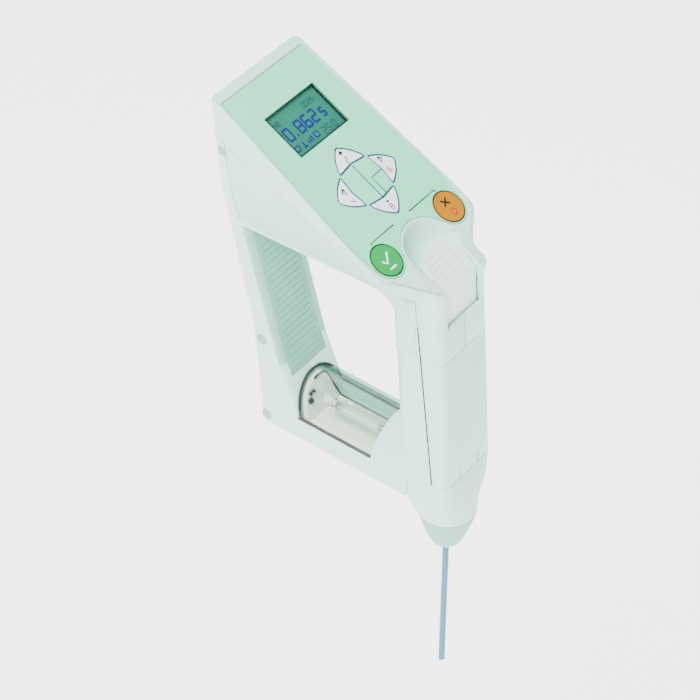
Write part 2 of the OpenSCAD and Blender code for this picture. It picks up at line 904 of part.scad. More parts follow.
module screw_plugs() {
    color("#bad7d2") {
        for (at = shell_screws) across(at, -half_w, plug_t - half_w, plug_r);
        across(holder_screw, -head_plug_x, plug_t - head_plug_x, plug_r);
    }
}
module screw(at, head_at, to) {
    across(at, head_at, head_at + screw_head_h, screw_head_r);
    across(at, head_at, to, screw_r);
}
module case_screws() {
    color(steel) {
        for (at = shell_screws) screw(at, plug_seat - half_w, half_w - wall - 4);
        screw(holder_screw, -holder_w / 2 - screw_block - screw_head_h, -holder_w / 2 + holder_wall - 0.2);
    }
}

// Ruled label in the column's inner face
rule_count = 18;
rule_in = 2.5;
rule_foot = 5;
rule_w = 0.3;
rule_depth = 0.2;
module label_plate() {
    color("#a9d3c8") difference() {
        intersection() {
            label_space(0, label_t);
            on_column() translate([-big / 2, 0, 0]) cube([big, label_t, big]);
        }
        for (i = [0:rule_count - 1])
            on_column() translate([rule_in - label_w / 2, -rule_depth, rule_foot + i * label_len / 22])
                cube([label_w - 2 * rule_in, 2 * rule_depth, rule_w]);
    }
}

module battery_door() {
    color(white) intersection() {
        difference() {
            head_form();
            head_cavity();
        }
        door_space(0);
    }
}
module battery_holder() {
    color(dark) difference() {
        translate([-holder_w / 2, holder_back, holder_z]) cube([holder_w, holder_d, holder_h]);
        translate([holder_wall - holder_w / 2, holder_back + holder_wall, holder_z + holder_wall])
            cube([holder_w - 2 * holder_wall, big, holder_h - 2 * holder_wall]);
        across(holder_screw, -holder_w / 2 - 1, 0, screw_r + running);
    }
}
battery_y = holder_back + holder_wall + battery_d / 2 + snug;
battery_z = holder_z + holder_wall + contact_t + contact_gap;
battery_x = battery_d / 2 + battery_gap;
nub_h = 1;
nub_d = battery_d * 0.36;
module batteries() {
    color("#4a4f55") for (side = [-1, 1]) translate([side * battery_x, battery_y, battery_z]) {
        cylinder(d = battery_d, h = battery_len - nub_h);
        cylinder(d = nub_d, h = battery_len);
    }
}
contact_w = battery_d * 0.8;
contact_d = battery_d * 0.9;
module battery_contacts() {
    color(steel) for (z = [holder_z + holder_wall, holder_z + holder_h - holder_wall - contact_t])
        for (side = [-1, 1])
            translate([side * battery_x - contact_w / 2, battery_y - contact_d / 2, z])
                cube([contact_w, contact_d, contact_t]);
}

module panel_overlay() {
    color(mint) on_panel() difference() {
        translate([0, 0, -film_t - snug]) linear_extrude(film_t) film_outline(0);
        translate([-lcd_w / 2, -lcd_h / 2, -2]) cube([lcd_w, lcd_h, 4]);
        for (turn = arrow_turns)
            translate([0, 0, -2]) linear_extrude(4) arrow_key_plan(turn, key_gap);
        for (side = [-1, 1])
            translate([side * round_key_x, -round_key_s, -2]) cylinder(r = round_key_r + key_gap, h = 4);
    }
}
lens_t = 0.9;
lens_top = 0.15;
module lcd_window() {
    color([0.8, 0.9, 0.88, 0.35]) on_panel()
        translate([snug - lcd_w / 2, snug - lcd_h / 2, -lens_top - lens_t])
        cube([lcd_w - 2 * snug, lcd_h - 2 * snug, lens_t]);
}
module lcd_frame() {
    color("#14493f") on_panel() translate([0, 0, -deck_t]) difference() {
        translate([snug - lcd_w / 2 - lcd_rim, snug - lcd_h / 2 - lcd_rim, 0])
            cube([lcd_w + 2 * (lcd_rim - snug), lcd_h + 2 * (lcd_rim - snug), deck_t - film_t - snug]);
        translate([-lcd_w / 2, -lcd_h / 2, -1]) cube([lcd_w, lcd_h, deck_t + 2]);
    }
}
module lcd_module() {
    color("#4aa08f") on_panel() translate([-lcd_w / 2 - module_rim, -lcd_h / 2 - module_rim, -board_top])
        cube([lcd_w + 2 * module_rim, lcd_h + 2 * module_rim, board_top - deck_t - snug]);
}

module arrow_key(turn) {
    color("#eef6f8") on_panel() {
        translate([0, 0, -deck_t]) linear_extrude(deck_t) arrow_key_plan(turn, 0);
        translate([0, -arrows_s, -key_foot]) rotate([0, 0, turn]) translate([0, arrow_stem, 0])
            cylinder(r = stem_r, h = key_foot - deck_t + eps);
    }
}
module key_up() arrow_key(0);
module key_down() arrow_key(180);
module key_left() arrow_key(90);
module key_right() arrow_key(-90);

stem_in = 3;
round_cap_t = 1.8;
module round_key(side) {
    on_panel() {
        translate([side * round_key_x, -round_key_s, -round_cap_t])
            cylinder(r = round_key_r, h = round_cap_t);
        translate([side * (round_key_x - stem_in), -round_key_s, -key_foot])
            cylinder(r = stem_r, h = key_foot - round_cap_t + eps);
    }
}
module ok_key() color("#3cfa78") round_key(-1);
module escape_key() color("#f9b012") round_key(1);

dome_r = 3;
dome_places = concat(
    [for (turn = arrow_turns) [arrow_stem * sin(-turn), arrow_stem * cos(turn) - arrows_s]],
    [for (side = [-1, 1]) [side * (round_key_x - stem_in), -round_key_s]]
);
module key_domes() {
    color(steel) on_panel() for (at = dome_places)
        translate([at.x, at.y, -board_top]) cylinder(r1 = dome_r, r2 = dome_r * 0.6, h = dome_h);
}
ear_w = 9;
ear_reach = 4;
module board_outline() {
    translate([-board_half, board_near]) square([2 * board_half, board_far - board_near]);
    for (side = [-1, 1])
        translate([side * (round_key_x - stem_in) - ear_w / 2, -round_key_s - ear_reach])
            square([ear_w, round_key_s + ear_reach + board_near + ear_reach]);
}
module main_board() {
    color("#2f6b4a") on_panel() translate([0, 0, -board_top - board_t]) difference() {
        linear_extrude(board_t) board_outline();
        for (at = board_posts) translate([at.x, at.y, -1]) cylinder(r = board_screw_r + running, h = 4);
    }
}
module board_screws() {
    color(steel) on_panel() for (at = board_posts)
        translate([at.x, at.y, -board_top - board_t - board_screw_head_h]) {
            cylinder(r = board_screw_head_r, h = board_screw_head_h);
            cylinder(r = board_screw_r - running, h = board_screw_head_h + board_t + board_screw_grip);
        }
}

// Thumb lever with its spring pocket
lever_foot = skirt_z - 3;
pocket_r = rod_d / 2 + 3.2;
pocket_top = skirt_z + 11;
rod_top = pocket_top + 8;
pad_grooves = 5;
pad_groove_pitch = 2.6;
pad_groove_w = 0.9;
pad_groove_depth = 0.35;
pad_groove_in = 3;
module pad_plane() {
    translate([0, -lever_front, pad_z]) rotate([pad_slope, 0, 0]) children();
}
module lever() {
    color("#eff8f5") in_grip() difference() {
        translate([0, 0, lever_foot]) linear_extrude(slot_top - lever_foot) lever_plan(0);
        pad_plane() translate([-big / 2, -big / 2, 0]) cube([big, big, big]);
        for (i = [0:pad_grooves - 1])
            pad_plane() translate([pad_groove_in - lever_w / 2, 4 + i * pad_groove_pitch, -pad_groove_depth])
                cube([lever_w - 2 * pad_groove_in, pad_groove_w, 1]);
        translate([0, -pump_y, lever_foot - 1]) cylinder(r = pocket_r, h = pocket_top - lever_foot + 1);
        translate([0, -pump_y, pocket_top - 1])
            cylinder(d = rod_d + 2 * running, h = rod_top - pocket_top + 1);
    }
}
module on_pump(z) in_grip() translate([0, -pump_y, z]) children();

// Height of the piston above the barrel's foot at the end of its stroke
piston_stop = 30;
piston_z = barrel_z + piston_stop + lever_travel;
piston_h = 6;
seal_r = 0.66;
seal_ring_r = pump_bore / 2 - running - seal_r;
module piston_rod() {
    color(steel) on_pump(piston_z + piston_h) cylinder(d = rod_d, h = rod_top - piston_z - piston_h);
}
module piston() {
    color("#d8d8d2") on_pump(piston_z) rotate_extrude() polygon([
        [0, 0],
        [pump_bore / 2 - 0.4, 0],
        [pump_bore / 2 - 0.4, piston_h / 2 - seal_r - running],
        [seal_ring_r - seal_r - 0.02, piston_h / 2 - seal_r - running],
        [seal_ring_r - seal_r - 0.02, piston_h / 2 + seal_r + running],
        [pump_bore / 2 - 0.4, piston_h / 2 + seal_r + running],
        [pump_bore / 2 - 0.4, piston_h],
        [0, piston_h]
    ]);
}
module piston_seal() {
    color(dark) on_pump(piston_z + piston_h / 2) rotate_extrude()
        translate([seal_ring_r, 0]) circle(r = seal_r);
}
barrel_cap = 2;
module pump_barrel() {
    color("#dfe9ea") difference() {
        on_pump(barrel_z) cylinder(r = barrel_r, h = barrel_top_z - barrel_z);
        on_pump(barrel_z - 1) cylinder(d = pump_bore, h = barrel_top_z - barrel_z + 1 - barrel_cap);
        on_pump(barrel_z) cylinder(d = rod_d + 2 * running, h = big);
    }
}
spring_wire = 1.1;
spring_r = pocket_r - slip;
module pump_spring() {
    color(steel) on_pump(barrel_top_z) difference() {
        cylinder(r = spring_r, h = pocket_top - barrel_top_z);
        translate([0, 0, -1]) cylinder(r = spring_r - spring_wire, h = big);
    }
}
base_foot = 3.5;
base_plug_h = 4;
nipple_r = 1.3;
nipple_h = 4;
module pump_base() {
    color("#d8d8d2") {
        on_pump(barrel_z - base_foot) cylinder(r = barrel_r, h = base_foot);
        on_pump(barrel_z - eps) cylinder(d = pump_bore - 2 * running, h = base_plug_h);
        on_pump(barrel_z - base_foot - nipple_h) cylinder(r = nipple_r, h = nipple_h + eps);
    }
}

// Measuring cell in the arm
module clear_of_column(gap) {
    difference() {
        children();
        column_form(-gap);
    }
}
module cell_window() {
    color([0.75, 0.88, 0.84, 0.3])
        clear_of_column(flush) in_arm() along_arm(seam, arm_front) intersection() {
            translate([0, -arch_drop]) difference() {
                circle(r = half_w);
                circle(r = half_w - window_t);
            }
            translate([-half_w, window_z]) square([grip_w, grip_w]);
        }
}
window_foot_x = sqrt(pow(half_w, 2) - pow(arch_drop + window_z, 2)) - flush;
module window_gasket() {
    color(dark) clear_of_column(flush) in_arm() for (side = [-1, 1])
        translate([side * (window_foot_x - window_t / 2) - window_t / 2, seam, window_z - gasket_t])
            cube([window_t, arm_front, gasket_t]);
}
leg_z = glass_od / 2 - 0.7;
magnet_r = 1.5;
magnet_len = 2.6;
coil_len = 2.4;
coil_r = magnet_r + 0.9;
tray_top = -1.6;
tray_left = half_w - flush - wall - 0.3;
tray_right = 8.6;
wall_y = leg_len + leg_gap / 2 + glass_od / 2 + 3.4;
wall_t = 2;
wall_r = half_w - window_t - 0.6;
wall_turn = 78;
wall_start = 180 - asin((tray_top - eps + arch_drop) / wall_r);
wall_arc_steps = 17;
// The end wall leans back with the column
wall_lean = 29;

// End wall of the tray: an arch on the left that swings down to the tray's right edge
module end_wall_section() {
    arc = [
        for (i = [0:wall_arc_steps])
        let (a = mix(wall_start, wall_turn, i / wall_arc_steps))
        [wall_r * cos(a), wall_r * sin(a) - arch_drop]
    ];
    top = arc[wall_arc_steps];
    foot = [tray_right, tray_top - eps];
    swing = bezier([top, [tray_right - 1.5, top.y - 1.1], [tray_right - 2.4, wall_r / 4], foot], 10);
    polygon(concat(arc, [for (i = [1:10]) swing[i]]));
}
module end_wall() {
    intersection() {
        along_arm(wall_y - wall_t, arm_front) end_wall_section();
        translate([-big / 2, wall_y, tray_top]) rotate([-wall_lean, 0, 0]) translate([0, 0, -wall_t])
            cube([big, wall_t, big]);
    }
}
coil_seat = 3.5;
module cell_tray() {
    color(cream) clear_of_column(0.3) in_arm() {
        translate([-tray_left, 0.5, wall + 0.3 - arm_drop])
            cube([tray_left + tray_right, arm_front, tray_top - wall - 0.3 + arm_drop]);
        end_wall();
        translate([0, wall_y, leg_z]) rotate([-90, 0, 0]) cylinder(r = coil_r, h = coil_seat);
    }
}
leg_start = -7;
module u_tube() {
    color([0.85, 0.93, 0.92, 0.5]) in_arm() translate([0, 0, leg_z]) {
        for (side = [-1, 1]) translate([side * leg_gap / 2, leg_start, 0]) rotate([-90, 0, 0])
            cylinder(d = glass_od, h = leg_len - leg_start);
        translate([0, leg_len, 0]) rotate_extrude(angle = 180)
            translate([leg_gap / 2, 0]) circle(d = glass_od);
    }
}
module cell_magnet() {
    color("#9aa3a6") in_arm()
        translate([0, leg_len + leg_gap / 2 + glass_od / 2, leg_z])
        rotate([-90, 0, 0])
        cylinder(r = magnet_r, h = magnet_len);
}
module drive_coil() {
    color("#3a3f40") in_arm() translate([0, wall_y - coil_len, leg_z]) rotate([-90, 0, 0]) difference() {
        cylinder(r = coil_r, h = coil_len);
        translate([0, 0, -1]) cylinder(r = magnet_r + slip, h = coil_len + 2);
    }
}
block_back = -9;
block_front = -1.2;
block_w = leg_gap + 11;
block_top = 7;
block_base = wall + 0.3 - arm_drop;
module cell_block() {
    color(cream) difference() {
        in_arm() translate([-block_w / 2, block_back, block_base])
            cube([block_w, block_front - block_back, block_top - block_base]);
        in_arm() for (side = [-1, 1]) translate([side * leg_gap / 2, leg_start, leg_z]) rotate([-90, 0, 0])
            cylinder(d = glass_od + 2 * running, h = 20);
    }
}
sensor_r = 1.2;
sensor_len = 9;
module temperature_sensor() {
    color(steel) in_arm() translate([0, block_front, leg_z]) rotate([-90, 0, 0])
        cylinder(r = sensor_r, h = sensor_len);
}

// Hoses between the tube, the cell and the pump
hose_r = 1.2;
hose_steps = 12;
hose_sides = 8;
function block_port(side, out) = arm_point([side * leg_gap / 2, block_back - out, leg_z]);
module inlet_hose() {
    start = [0, 0, tube_top];
    path = bezier([start, start + [0, 0, 14], block_port(1, 13), block_port(1, 0)], hose_steps);
    color("#c9d8d8") hose(path, hose_r, hose_sides);
}
module outlet_hose() {
    start = grip_point([0, -pump_y, barrel_z - base_foot - nipple_h]);
    path = bezier([start, start - [0, 0, 9], block_port(-1, 15), block_port(-1, 0)], hose_steps);
    color("#c9d8d8") hose(path, hose_r, hose_sides);
}

left_shell();
right_shell();
head_cover();
collar_left();
collar_right();
grip_cover();
nozzle_cap();
sampling_tube();
screw_plugs();
case_screws();
label_plate();
battery_door();
battery_holder();
batteries();
battery_contacts();
panel_overlay();
lcd_window();
lcd_frame();
lcd_module();
key_up();
key_down();
key_left();
key_right();
ok_key();
escape_key();
key_domes();
main_board();
board_screws();
lever();
piston_rod();
piston();
piston_seal();
pump_barrel();
pump_spring();
pump_base();
cell_window();
window_gasket();
cell_tray();
u_tube();
cell_magnet();
drive_coil();
cell_block();
temperature_sensor();
inlet_hose();
outlet_hose();
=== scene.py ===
"""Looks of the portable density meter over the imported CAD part, in metres and in its frame."""

from math import cos, pi, radians, sin, tan

import bmesh
import bpy
from mathutils import Matrix, Vector


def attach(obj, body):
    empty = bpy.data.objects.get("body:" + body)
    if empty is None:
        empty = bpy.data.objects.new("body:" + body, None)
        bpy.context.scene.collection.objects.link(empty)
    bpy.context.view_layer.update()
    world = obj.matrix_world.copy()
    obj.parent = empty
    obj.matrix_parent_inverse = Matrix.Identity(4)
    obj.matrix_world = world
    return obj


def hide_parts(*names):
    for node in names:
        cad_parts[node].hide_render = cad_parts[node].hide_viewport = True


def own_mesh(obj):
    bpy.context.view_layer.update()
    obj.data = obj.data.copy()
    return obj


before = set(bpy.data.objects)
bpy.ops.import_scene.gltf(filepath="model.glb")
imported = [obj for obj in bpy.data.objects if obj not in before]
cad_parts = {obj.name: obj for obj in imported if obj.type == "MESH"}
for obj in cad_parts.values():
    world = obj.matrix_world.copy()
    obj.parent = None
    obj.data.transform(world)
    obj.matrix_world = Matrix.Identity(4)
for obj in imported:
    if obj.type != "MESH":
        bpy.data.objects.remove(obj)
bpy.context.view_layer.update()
bpy.ops.object.select_all(action="DESELECT")

# Casing shells. Two halves moulded in white ABS make the column, the lower arm, the finger side of
# the grip and the nose. They meet on the middle plane, held by two long screws. Their faces in the
# joint with the grip cover are painted dark as the shade in the gap, and the face round the label
# is painted darker as shade and made duller.

MM = 0.001


def srgb(code):
    """Linear RGBA of a hex colour."""
    channels = [int(code[i:i + 2], 16) / 255 for i in (1, 3, 5)]
    linear = [c / 12.92 if c <= 0.04045 else ((c + 0.055) / 1.055) ** 2.4 for c in channels]
    return (*linear, 1)


def add(tree, kind, links=(), **settings):
    """Adds a shader node, sets its inputs or properties, links (input, node, output) triples."""
    made = tree.nodes.new("ShaderNode" + kind)
    for name, value in settings.items():
        sockets = [s for s in made.inputs if s.name.lower() == name.replace("_", " ")]
        if sockets:
            sockets[0].default_value = value
        else:
            setattr(made, name, value)
    for target, source, output in links:
        tree.links.new(source.outputs[output], made.inputs[target])
    return made


def new_material(name):
    """A material with an empty shader tree."""
    made = bpy.data.materials.new(name)
    made.use_nodes = True
    made.node_tree.nodes.clear()
    return made, made.node_tree


def noise(tree, place, size_mm, detail):
    """Noise through a piece, in patches of about a size."""
    scale = 1 / (size_mm * MM)
    return add(tree, "TexNoise", [("Vector", place, "Object")], scale=scale, detail=detail)


DRIFT, DRIFT_STOPS = 22, (0.3, 0.7)
GRAIN_GLOSS, GRAIN_DEPTH = (-0.05, 0.07), 0.05


def moulded(name, light, dark, rough, grain_mm=0.5, relief=0.06, **surface):
    """Moulded plastic or print: its colour drifts a little, and a fine grain breaks the gloss."""
    made, tree = new_material(name)
    place = add(tree, "TexCoord")
    tone = add(tree, "ValToRGB", [("Fac", noise(tree, place, DRIFT, 3), "Fac")])
    for stop, position, colour in zip(tone.color_ramp.elements, DRIFT_STOPS, (dark, light)):
        stop.position = position
        stop.color = srgb(colour)
    grain = noise(tree, place, grain_mm, 2)
    gloss = add(tree, "MapRange", [("Value", grain, "Fac")],
                to_min=rough + GRAIN_GLOSS[0], to_max=rough + GRAIN_GLOSS[1])
    bump = add(tree, "Bump", [("Height", grain, "Fac")],
               strength=relief, distance=GRAIN_DEPTH * MM)
    skin = add(tree, "BsdfPrincipled", [
        ("Base Color", tone, "Color"), ("Roughness", gloss, "Result"), ("Normal", bump, "Normal"),
    ], **surface)
    add(tree, "OutputMaterial", [("Surface", skin, 0)])
    return made


def only(piece):
    """Makes a piece the one selected object."""
    bpy.ops.object.select_all(action="DESELECT")
    piece.select_set(True)
    bpy.context.view_layer.objects.active = piece


def paint(piece, *finishes):
    """Gives a piece its finishes; the first one covers it."""
    piece.data.materials.clear()
    for finish in finishes:
        piece.data.materials.append(finish)


def soften(piece, width_mm, segments=2, degrees=32):
    """Rounds a piece's sharp edges, and smooths the shading over the gentle ones."""
    only(piece)
    edge = piece.modifiers.new("edge", "BEVEL")
    edge.width = width_mm * MM
    edge.segments = segments
    edge.limit_method = "ANGLE"
    edge.angle_limit = radians(degrees)
    bpy.ops.object.modifier_apply(modifier=edge.name)
    bpy.ops.object.shade_smooth_by_angle(angle=radians(degrees))


MERGE_MM, FLAT_DEGREES = 0.002, 0.5


def node_copy(node):
    """A merged copy of a CAD node's mesh, to be shaped further in its place."""
    piece = bpy.data.objects.new(node + "_piece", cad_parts[node].data.copy())
    bpy.context.scene.collection.objects.link(piece)
    only(piece)
    bpy.ops.object.mode_set(mode="EDIT")
    bpy.ops.mesh.select_all(action="SELECT")
    bpy.ops.mesh.customdata_custom_splitnormals_clear()
    bpy.ops.mesh.remove_doubles(threshold=MERGE_MM * MM)
    bpy.ops.mesh.dissolve_limited(angle_limit=radians(FLAT_DEGREES))
    bpy.ops.object.mode_set(mode="OBJECT")
    return piece


def belongs(piece, body, slot, *nodes):
    """The piece moves with a body and stands for CAD nodes; its slot is not used."""
    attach(piece, body)
    if nodes:
        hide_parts(*nodes)


def turned_frame(origin_mm, degrees):
    """A local frame of the part: its origin, and its turn about the X axis."""
    turn = Matrix.Rotation(radians(degrees), 4, "X")
    return Matrix.Translation(Vector(origin_mm) * MM) @ turn


def start_edit(piece):
    """Opens a piece in edit mode with nothing selected."""
    only(piece)
    bpy.ops.object.mode_set(mode="EDIT")
    bpy.ops.mesh.select_all(action="DESELECT")


def pick_faces(piece, wanted):
    """Selects, in edit mode, the faces whose centre and normal pass a test."""
    bpy.ops.mesh.select_mode(type="FACE")
    mesh = bmesh.from_edit_mesh(piece.data)
    for face in mesh.faces:
        face.select_set(wanted(face.calc_center_median(), face.normal))
    bmesh.update_edit_mesh(piece.data)


def finish_faces(piece, index, wanted):
    """Gives the faces that pass a test another of the piece's finishes."""
    start_edit(piece)
    pick_faces(piece, wanted)
    piece.active_material_index = index
    bpy.ops.object.material_slot_assign()
    bpy.ops.object.mode_set(mode="OBJECT")


# White ABS with a trace of green, from a spark-eroded mould: a soft sheen over a fine grain. The
# real grain of about 0.2 mm is drawn at 0.5 mm so that it shows.
ABS_WHITE = moulded("abs_spark_eroded_white", "#C0EDE4", "#B9E8DE", 0.38,
                    coat_weight=0.06, coat_roughness=0.25, ior=1.54)
# Painted shade for the joint with the grip cover: dull and dark.
JOINT_PAINTED_SHADE = moulded("joint_painted_shade", "#3E514A", "#374942", 0.8, relief=0.1)
# ABS painted darker as the shade round the label on the column's inner face, and duller.
ABS_PAINTED_SHADE = moulded("abs_painted_shade_dull", "#96C2B8", "#8FBBB1", 0.6, ior=1.54)

FACING = 0.9
GRIP = turned_frame((0, 0, 74.4), -3.8)
SEAM_REACH, SEAM_X, SEAM_SLACK = 6.5, 12, 0.5
grip_place = GRIP.inverted()
towards_fingers = GRIP.to_3x3() @ Vector((0, 1, 0))


def in_shaded_joint(centre, normal):
    """Faces of the shells that look at the grip cover across the joint, painted dark as its shade.
    """
    spot = grip_place @ centre / MM
    in_joint = -SEAM_REACH - SEAM_SLACK < spot.y < SEAM_SLACK and abs(spot.x) > SEAM_X
    return in_joint and normal.dot(towards_fingers) < -FACING


BEND = (0, 78.7, 150)
COLUMN = turned_frame(BEND, -15.56)
SHADE_FACING, SHADE_DEPTH = 0.5, 4
column_place = COLUMN.inverted()
towards_grip = COLUMN.to_3x3() @ Vector((0, -1, 0))


def shaded_round_label(centre, normal):
    """Faces on the inner side of the column, above its bend, painted darker as shade."""
    spot = column_place @ centre / MM
    return normal.dot(towards_grip) > SHADE_FACING and spot.z > 0 and spot.y < SHADE_DEPTH


SHELL_EDGE = 0.45
for node in ("left_shell", "right_shell"):
    piece = node_copy(node)
    paint(piece, ABS_WHITE, JOINT_PAINTED_SHADE, ABS_PAINTED_SHADE)
    # The faces in the joint with the grip cover are painted dark as shade.
    finish_faces(piece, 1, in_shaded_joint)
    # The face round the label is painted darker as shade.
    finish_faces(piece, 2, shaded_round_label)
    soften(piece, SHELL_EDGE)
    belongs(piece, "casing", "casing", node)

# Tray of the measuring cell. A cream acetal moulding lies in the arm under the window, with white
# ribs along its floor and an arched wall that leans against the column. A small steel plate, two
# black studs and a plug sit on the wall.


def finish_nodes(finish, *nodes):
    """Shows CAD nodes in their own shape, in a finish."""
    for node in nodes:
        paint(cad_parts[node], finish)


def bar(name, centre_mm, size_mm, matrix, edge_mm):
    """A small block with rounded edges, placed in a local frame."""
    bpy.ops.mesh.primitive_cube_add(size=1, location=Vector(centre_mm) * MM)
    piece = bpy.context.object
    piece.name = name
    piece.scale = Vector(size_mm) * MM
    bpy.ops.object.transform_apply(location=True, rotation=True, scale=True)
    piece.data.transform(matrix)
    soften(piece, edge_mm)
    return piece


def moved_copy(piece, step_mm, matrix):
    """A copy with its own mesh, moved within a local frame."""
    twin = piece.copy()
    twin.data = piece.data.copy()
    twin.data.transform(Matrix.Translation(matrix.to_3x3() @ Vector(step_mm) * MM))
    bpy.context.scene.collection.objects.link(twin)
    return twin


def joined(name, pieces):
    """Makes one piece of several."""
    bpy.ops.object.select_all(action="DESELECT")
    for piece in pieces:
        piece.select_set(True)
    bpy.context.view_layer.objects.active = pieces[0]
    bpy.ops.object.join()
    pieces[0].name = name
    return pieces[0]


DRAWN_PER_METRE = (400, 400, 6000)
DRAWN_GLOSS, DRAWN_DEPTH = (-0.08, 0.12), 0.03


def metal(name, colour, rough):
    """Bare metal: fine drawn or turned lines run across its shine."""
    made, tree = new_material(name)
    place = add(tree, "TexCoord")
    drawn = add(tree, "Mapping", [("Vector", place, "Object")], scale=DRAWN_PER_METRE)
    scratch = add(tree, "TexNoise", [("Vector", drawn, "Vector")], scale=1, detail=3)
    gloss = add(tree, "MapRange", [("Value", scratch, "Fac")],
                to_min=rough + DRAWN_GLOSS[0], to_max=rough + DRAWN_GLOSS[1])
    bump = add(tree, "Bump", [("Height", scratch, "Fac")], strength=0.1, distance=DRAWN_DEPTH * MM)
    skin = add(tree, "BsdfPrincipled", [("Roughness", gloss, "Result"), ("Normal", bump, "Normal")],
               base_color=srgb(colour), metallic=1)
    add(tree, "OutputMaterial", [("Surface", skin, 0)])
    return made


# Cream and white acetal: waxy and smooth. Stainless steel: bright, with drawn lines. Black nylon:
# dull, with some sheen.
ACETAL_CREAM = moulded("acetal_cream", "#E9ECDC", "#E1E6D2", 0.4, ior=1.48)
ACETAL_WHITE = moulded("acetal_white", "#FAFCF6", "#F5F8F0", 0.35, ior=1.48)
STEEL = metal("stainless_steel_drawn", "#C2C8CA", 0.28)
NYLON_BLACK = moulded("nylon_black", "#0A100E", "#080D0C", 0.45, ior=1.53)

ARM = turned_frame((0, 30, 122), 5)
WALL_LEAN, WALL_FOOT_Y, TRAY_TOP = 29, 34.5, -1.6
WALL = ARM @ turned_frame((0, WALL_FOOT_Y, TRAY_TOP), -WALL_LEAN)
FITTING_EDGE = 0.2
RIB_PLACES = (-14.6, -12.3, -10, -7.6, -1.2, 1.2, 7.2)
RIB_START, RIB_SIZE, RIB_LIFT = 1.2, (1.1, 33, 0.6), 0.2
finish_nodes(ACETAL_CREAM, "cell_tray")
rib_centre = (RIB_PLACES[0], RIB_START + RIB_SIZE[1] / 2, TRAY_TOP + RIB_LIFT)
rib = bar("tray_ribs", rib_centre, RIB_SIZE, ARM, FITTING_EDGE)
ribs = [rib] + [moved_copy(rib, (x - RIB_PLACES[0], 0, 0), ARM) for x in RIB_PLACES[1:]]
piece = joined("tray_ribs", ribs)
paint(piece, ACETAL_WHITE)
belongs(piece, "casing", "tray")

PLATE_PLACE, PLATE_SIZE = (-8.2, -0.3, 11.3), (4.4, 0.8, 2.4)
STUD_PLACE, STUD_R, STUD_LEN, STUD_STEP = (-9.4, -1.05, 11.3), 0.75, 0.9, 2.4
PLUG_PLACE, PLUG_SIZE, PLUG_EDGE = (-10.6, -0.7, 8.4), (2.4, 1.6, 2.2), 0.3
piece = bar("end_plate", PLATE_PLACE, PLATE_SIZE, WALL, FITTING_EDGE)
paint(piece, STEEL)
belongs(piece, "casing", "contact")
bpy.ops.mesh.primitive_cylinder_add(
    vertices=24, radius=STUD_R * MM, depth=STUD_LEN * MM,
    rotation=(pi / 2, 0, 0), location=Vector(STUD_PLACE) * MM,
)
stud = bpy.context.object
bpy.ops.object.transform_apply(location=True, rotation=True, scale=True)
stud.data.transform(WALL)
soften(stud, FITTING_EDGE)
plug = bar("plug", PLUG_PLACE, PLUG_SIZE, WALL, PLUG_EDGE)
piece = joined("end_studs", [stud, moved_copy(stud, (STUD_STEP, 0, 0), WALL), plug])
paint(piece, NYLON_BLACK)
belongs(piece, "casing", "coil")

# Glass tube of the cell. A bent borosilicate tube holds the sample. Its open ends are cemented into
# a block, and the capped magnet on its bend swings in the drive coil. A temperature probe and two
# silicone hoses meet the block.


def clear(name, colour, shine, ripple_mm):
    """Clear glass or plastic: light goes straight through it, under a rippled shine."""
    made, tree = new_material(name)
    ripple = noise(tree, add(tree, "TexCoord"), ripple_mm, 1)
    bump = add(tree, "Bump", [("Height", ripple, "Fac")], strength=0.05, distance=0.1 * MM)
    through = add(tree, "BsdfTransparent", color=srgb(colour))
    gleam = add(tree, "BsdfGlossy", [("Normal", bump, "Normal")], roughness=0.06)
    skin = add(tree, "MixShader", [(1, through, 0), (2, gleam, 0)], fac=shine)
    add(tree, "OutputMaterial", [("Surface", skin, 0)])
    return made


# A wave texture of scale 1 repeats about every 0.31 units.
WAVE_PERIOD = 0.31


def winding(name, wire_mm, wire, gap):
    """Wire wound in turns along the arm, under a coat of pale potting."""
    made, tree = new_material(name)
    place = add(tree, "TexCoord")
    turns = add(tree, "TexWave", [("Vector", place, "Object")],
                scale=WAVE_PERIOD / (wire_mm * MM), bands_direction="Y")
    tone = add(tree, "ValToRGB", [("Fac", turns, "Fac")])
    for stop, colour in zip(tone.color_ramp.elements, (gap, wire)):
        stop.color = srgb(colour)
    bump = add(tree, "Bump", [("Height", turns, "Fac")], strength=0.4, distance=0.1 * MM)
    skin = add(tree, "BsdfPrincipled", [("Base Color", tone, "Color"), ("Normal", bump, "Normal")],
               roughness=0.4)
    add(tree, "OutputMaterial", [("Surface", skin, 0)])
    return made


# Borosilicate glass: clear, with strong reflections along its length. Silicone: milky and soft.
# Potted wire: pale, in fine turns.
GLASS = clear("borosilicate_glass", "#FAFDFC", shine=0.14, ripple_mm=4)
SILICONE = moulded("silicone_milky", "#D5E2E1", "#CBDAD9", 0.35, subsurface_weight=0.1, ior=1.41)
POTTED_WIRE = winding("wire_in_potting", wire_mm=0.35, wire="#DDE2D4", gap="#C3CCBC")
finish_nodes(GLASS, "u_tube")
finish_nodes(POTTED_WIRE, "drive_coil")
finish_nodes(ACETAL_CREAM, "cell_block")
finish_nodes(ACETAL_WHITE, "cell_magnet")
finish_nodes(STEEL, "temperature_sensor")
finish_nodes(SILICONE, "inlet_hose", "outlet_hose")
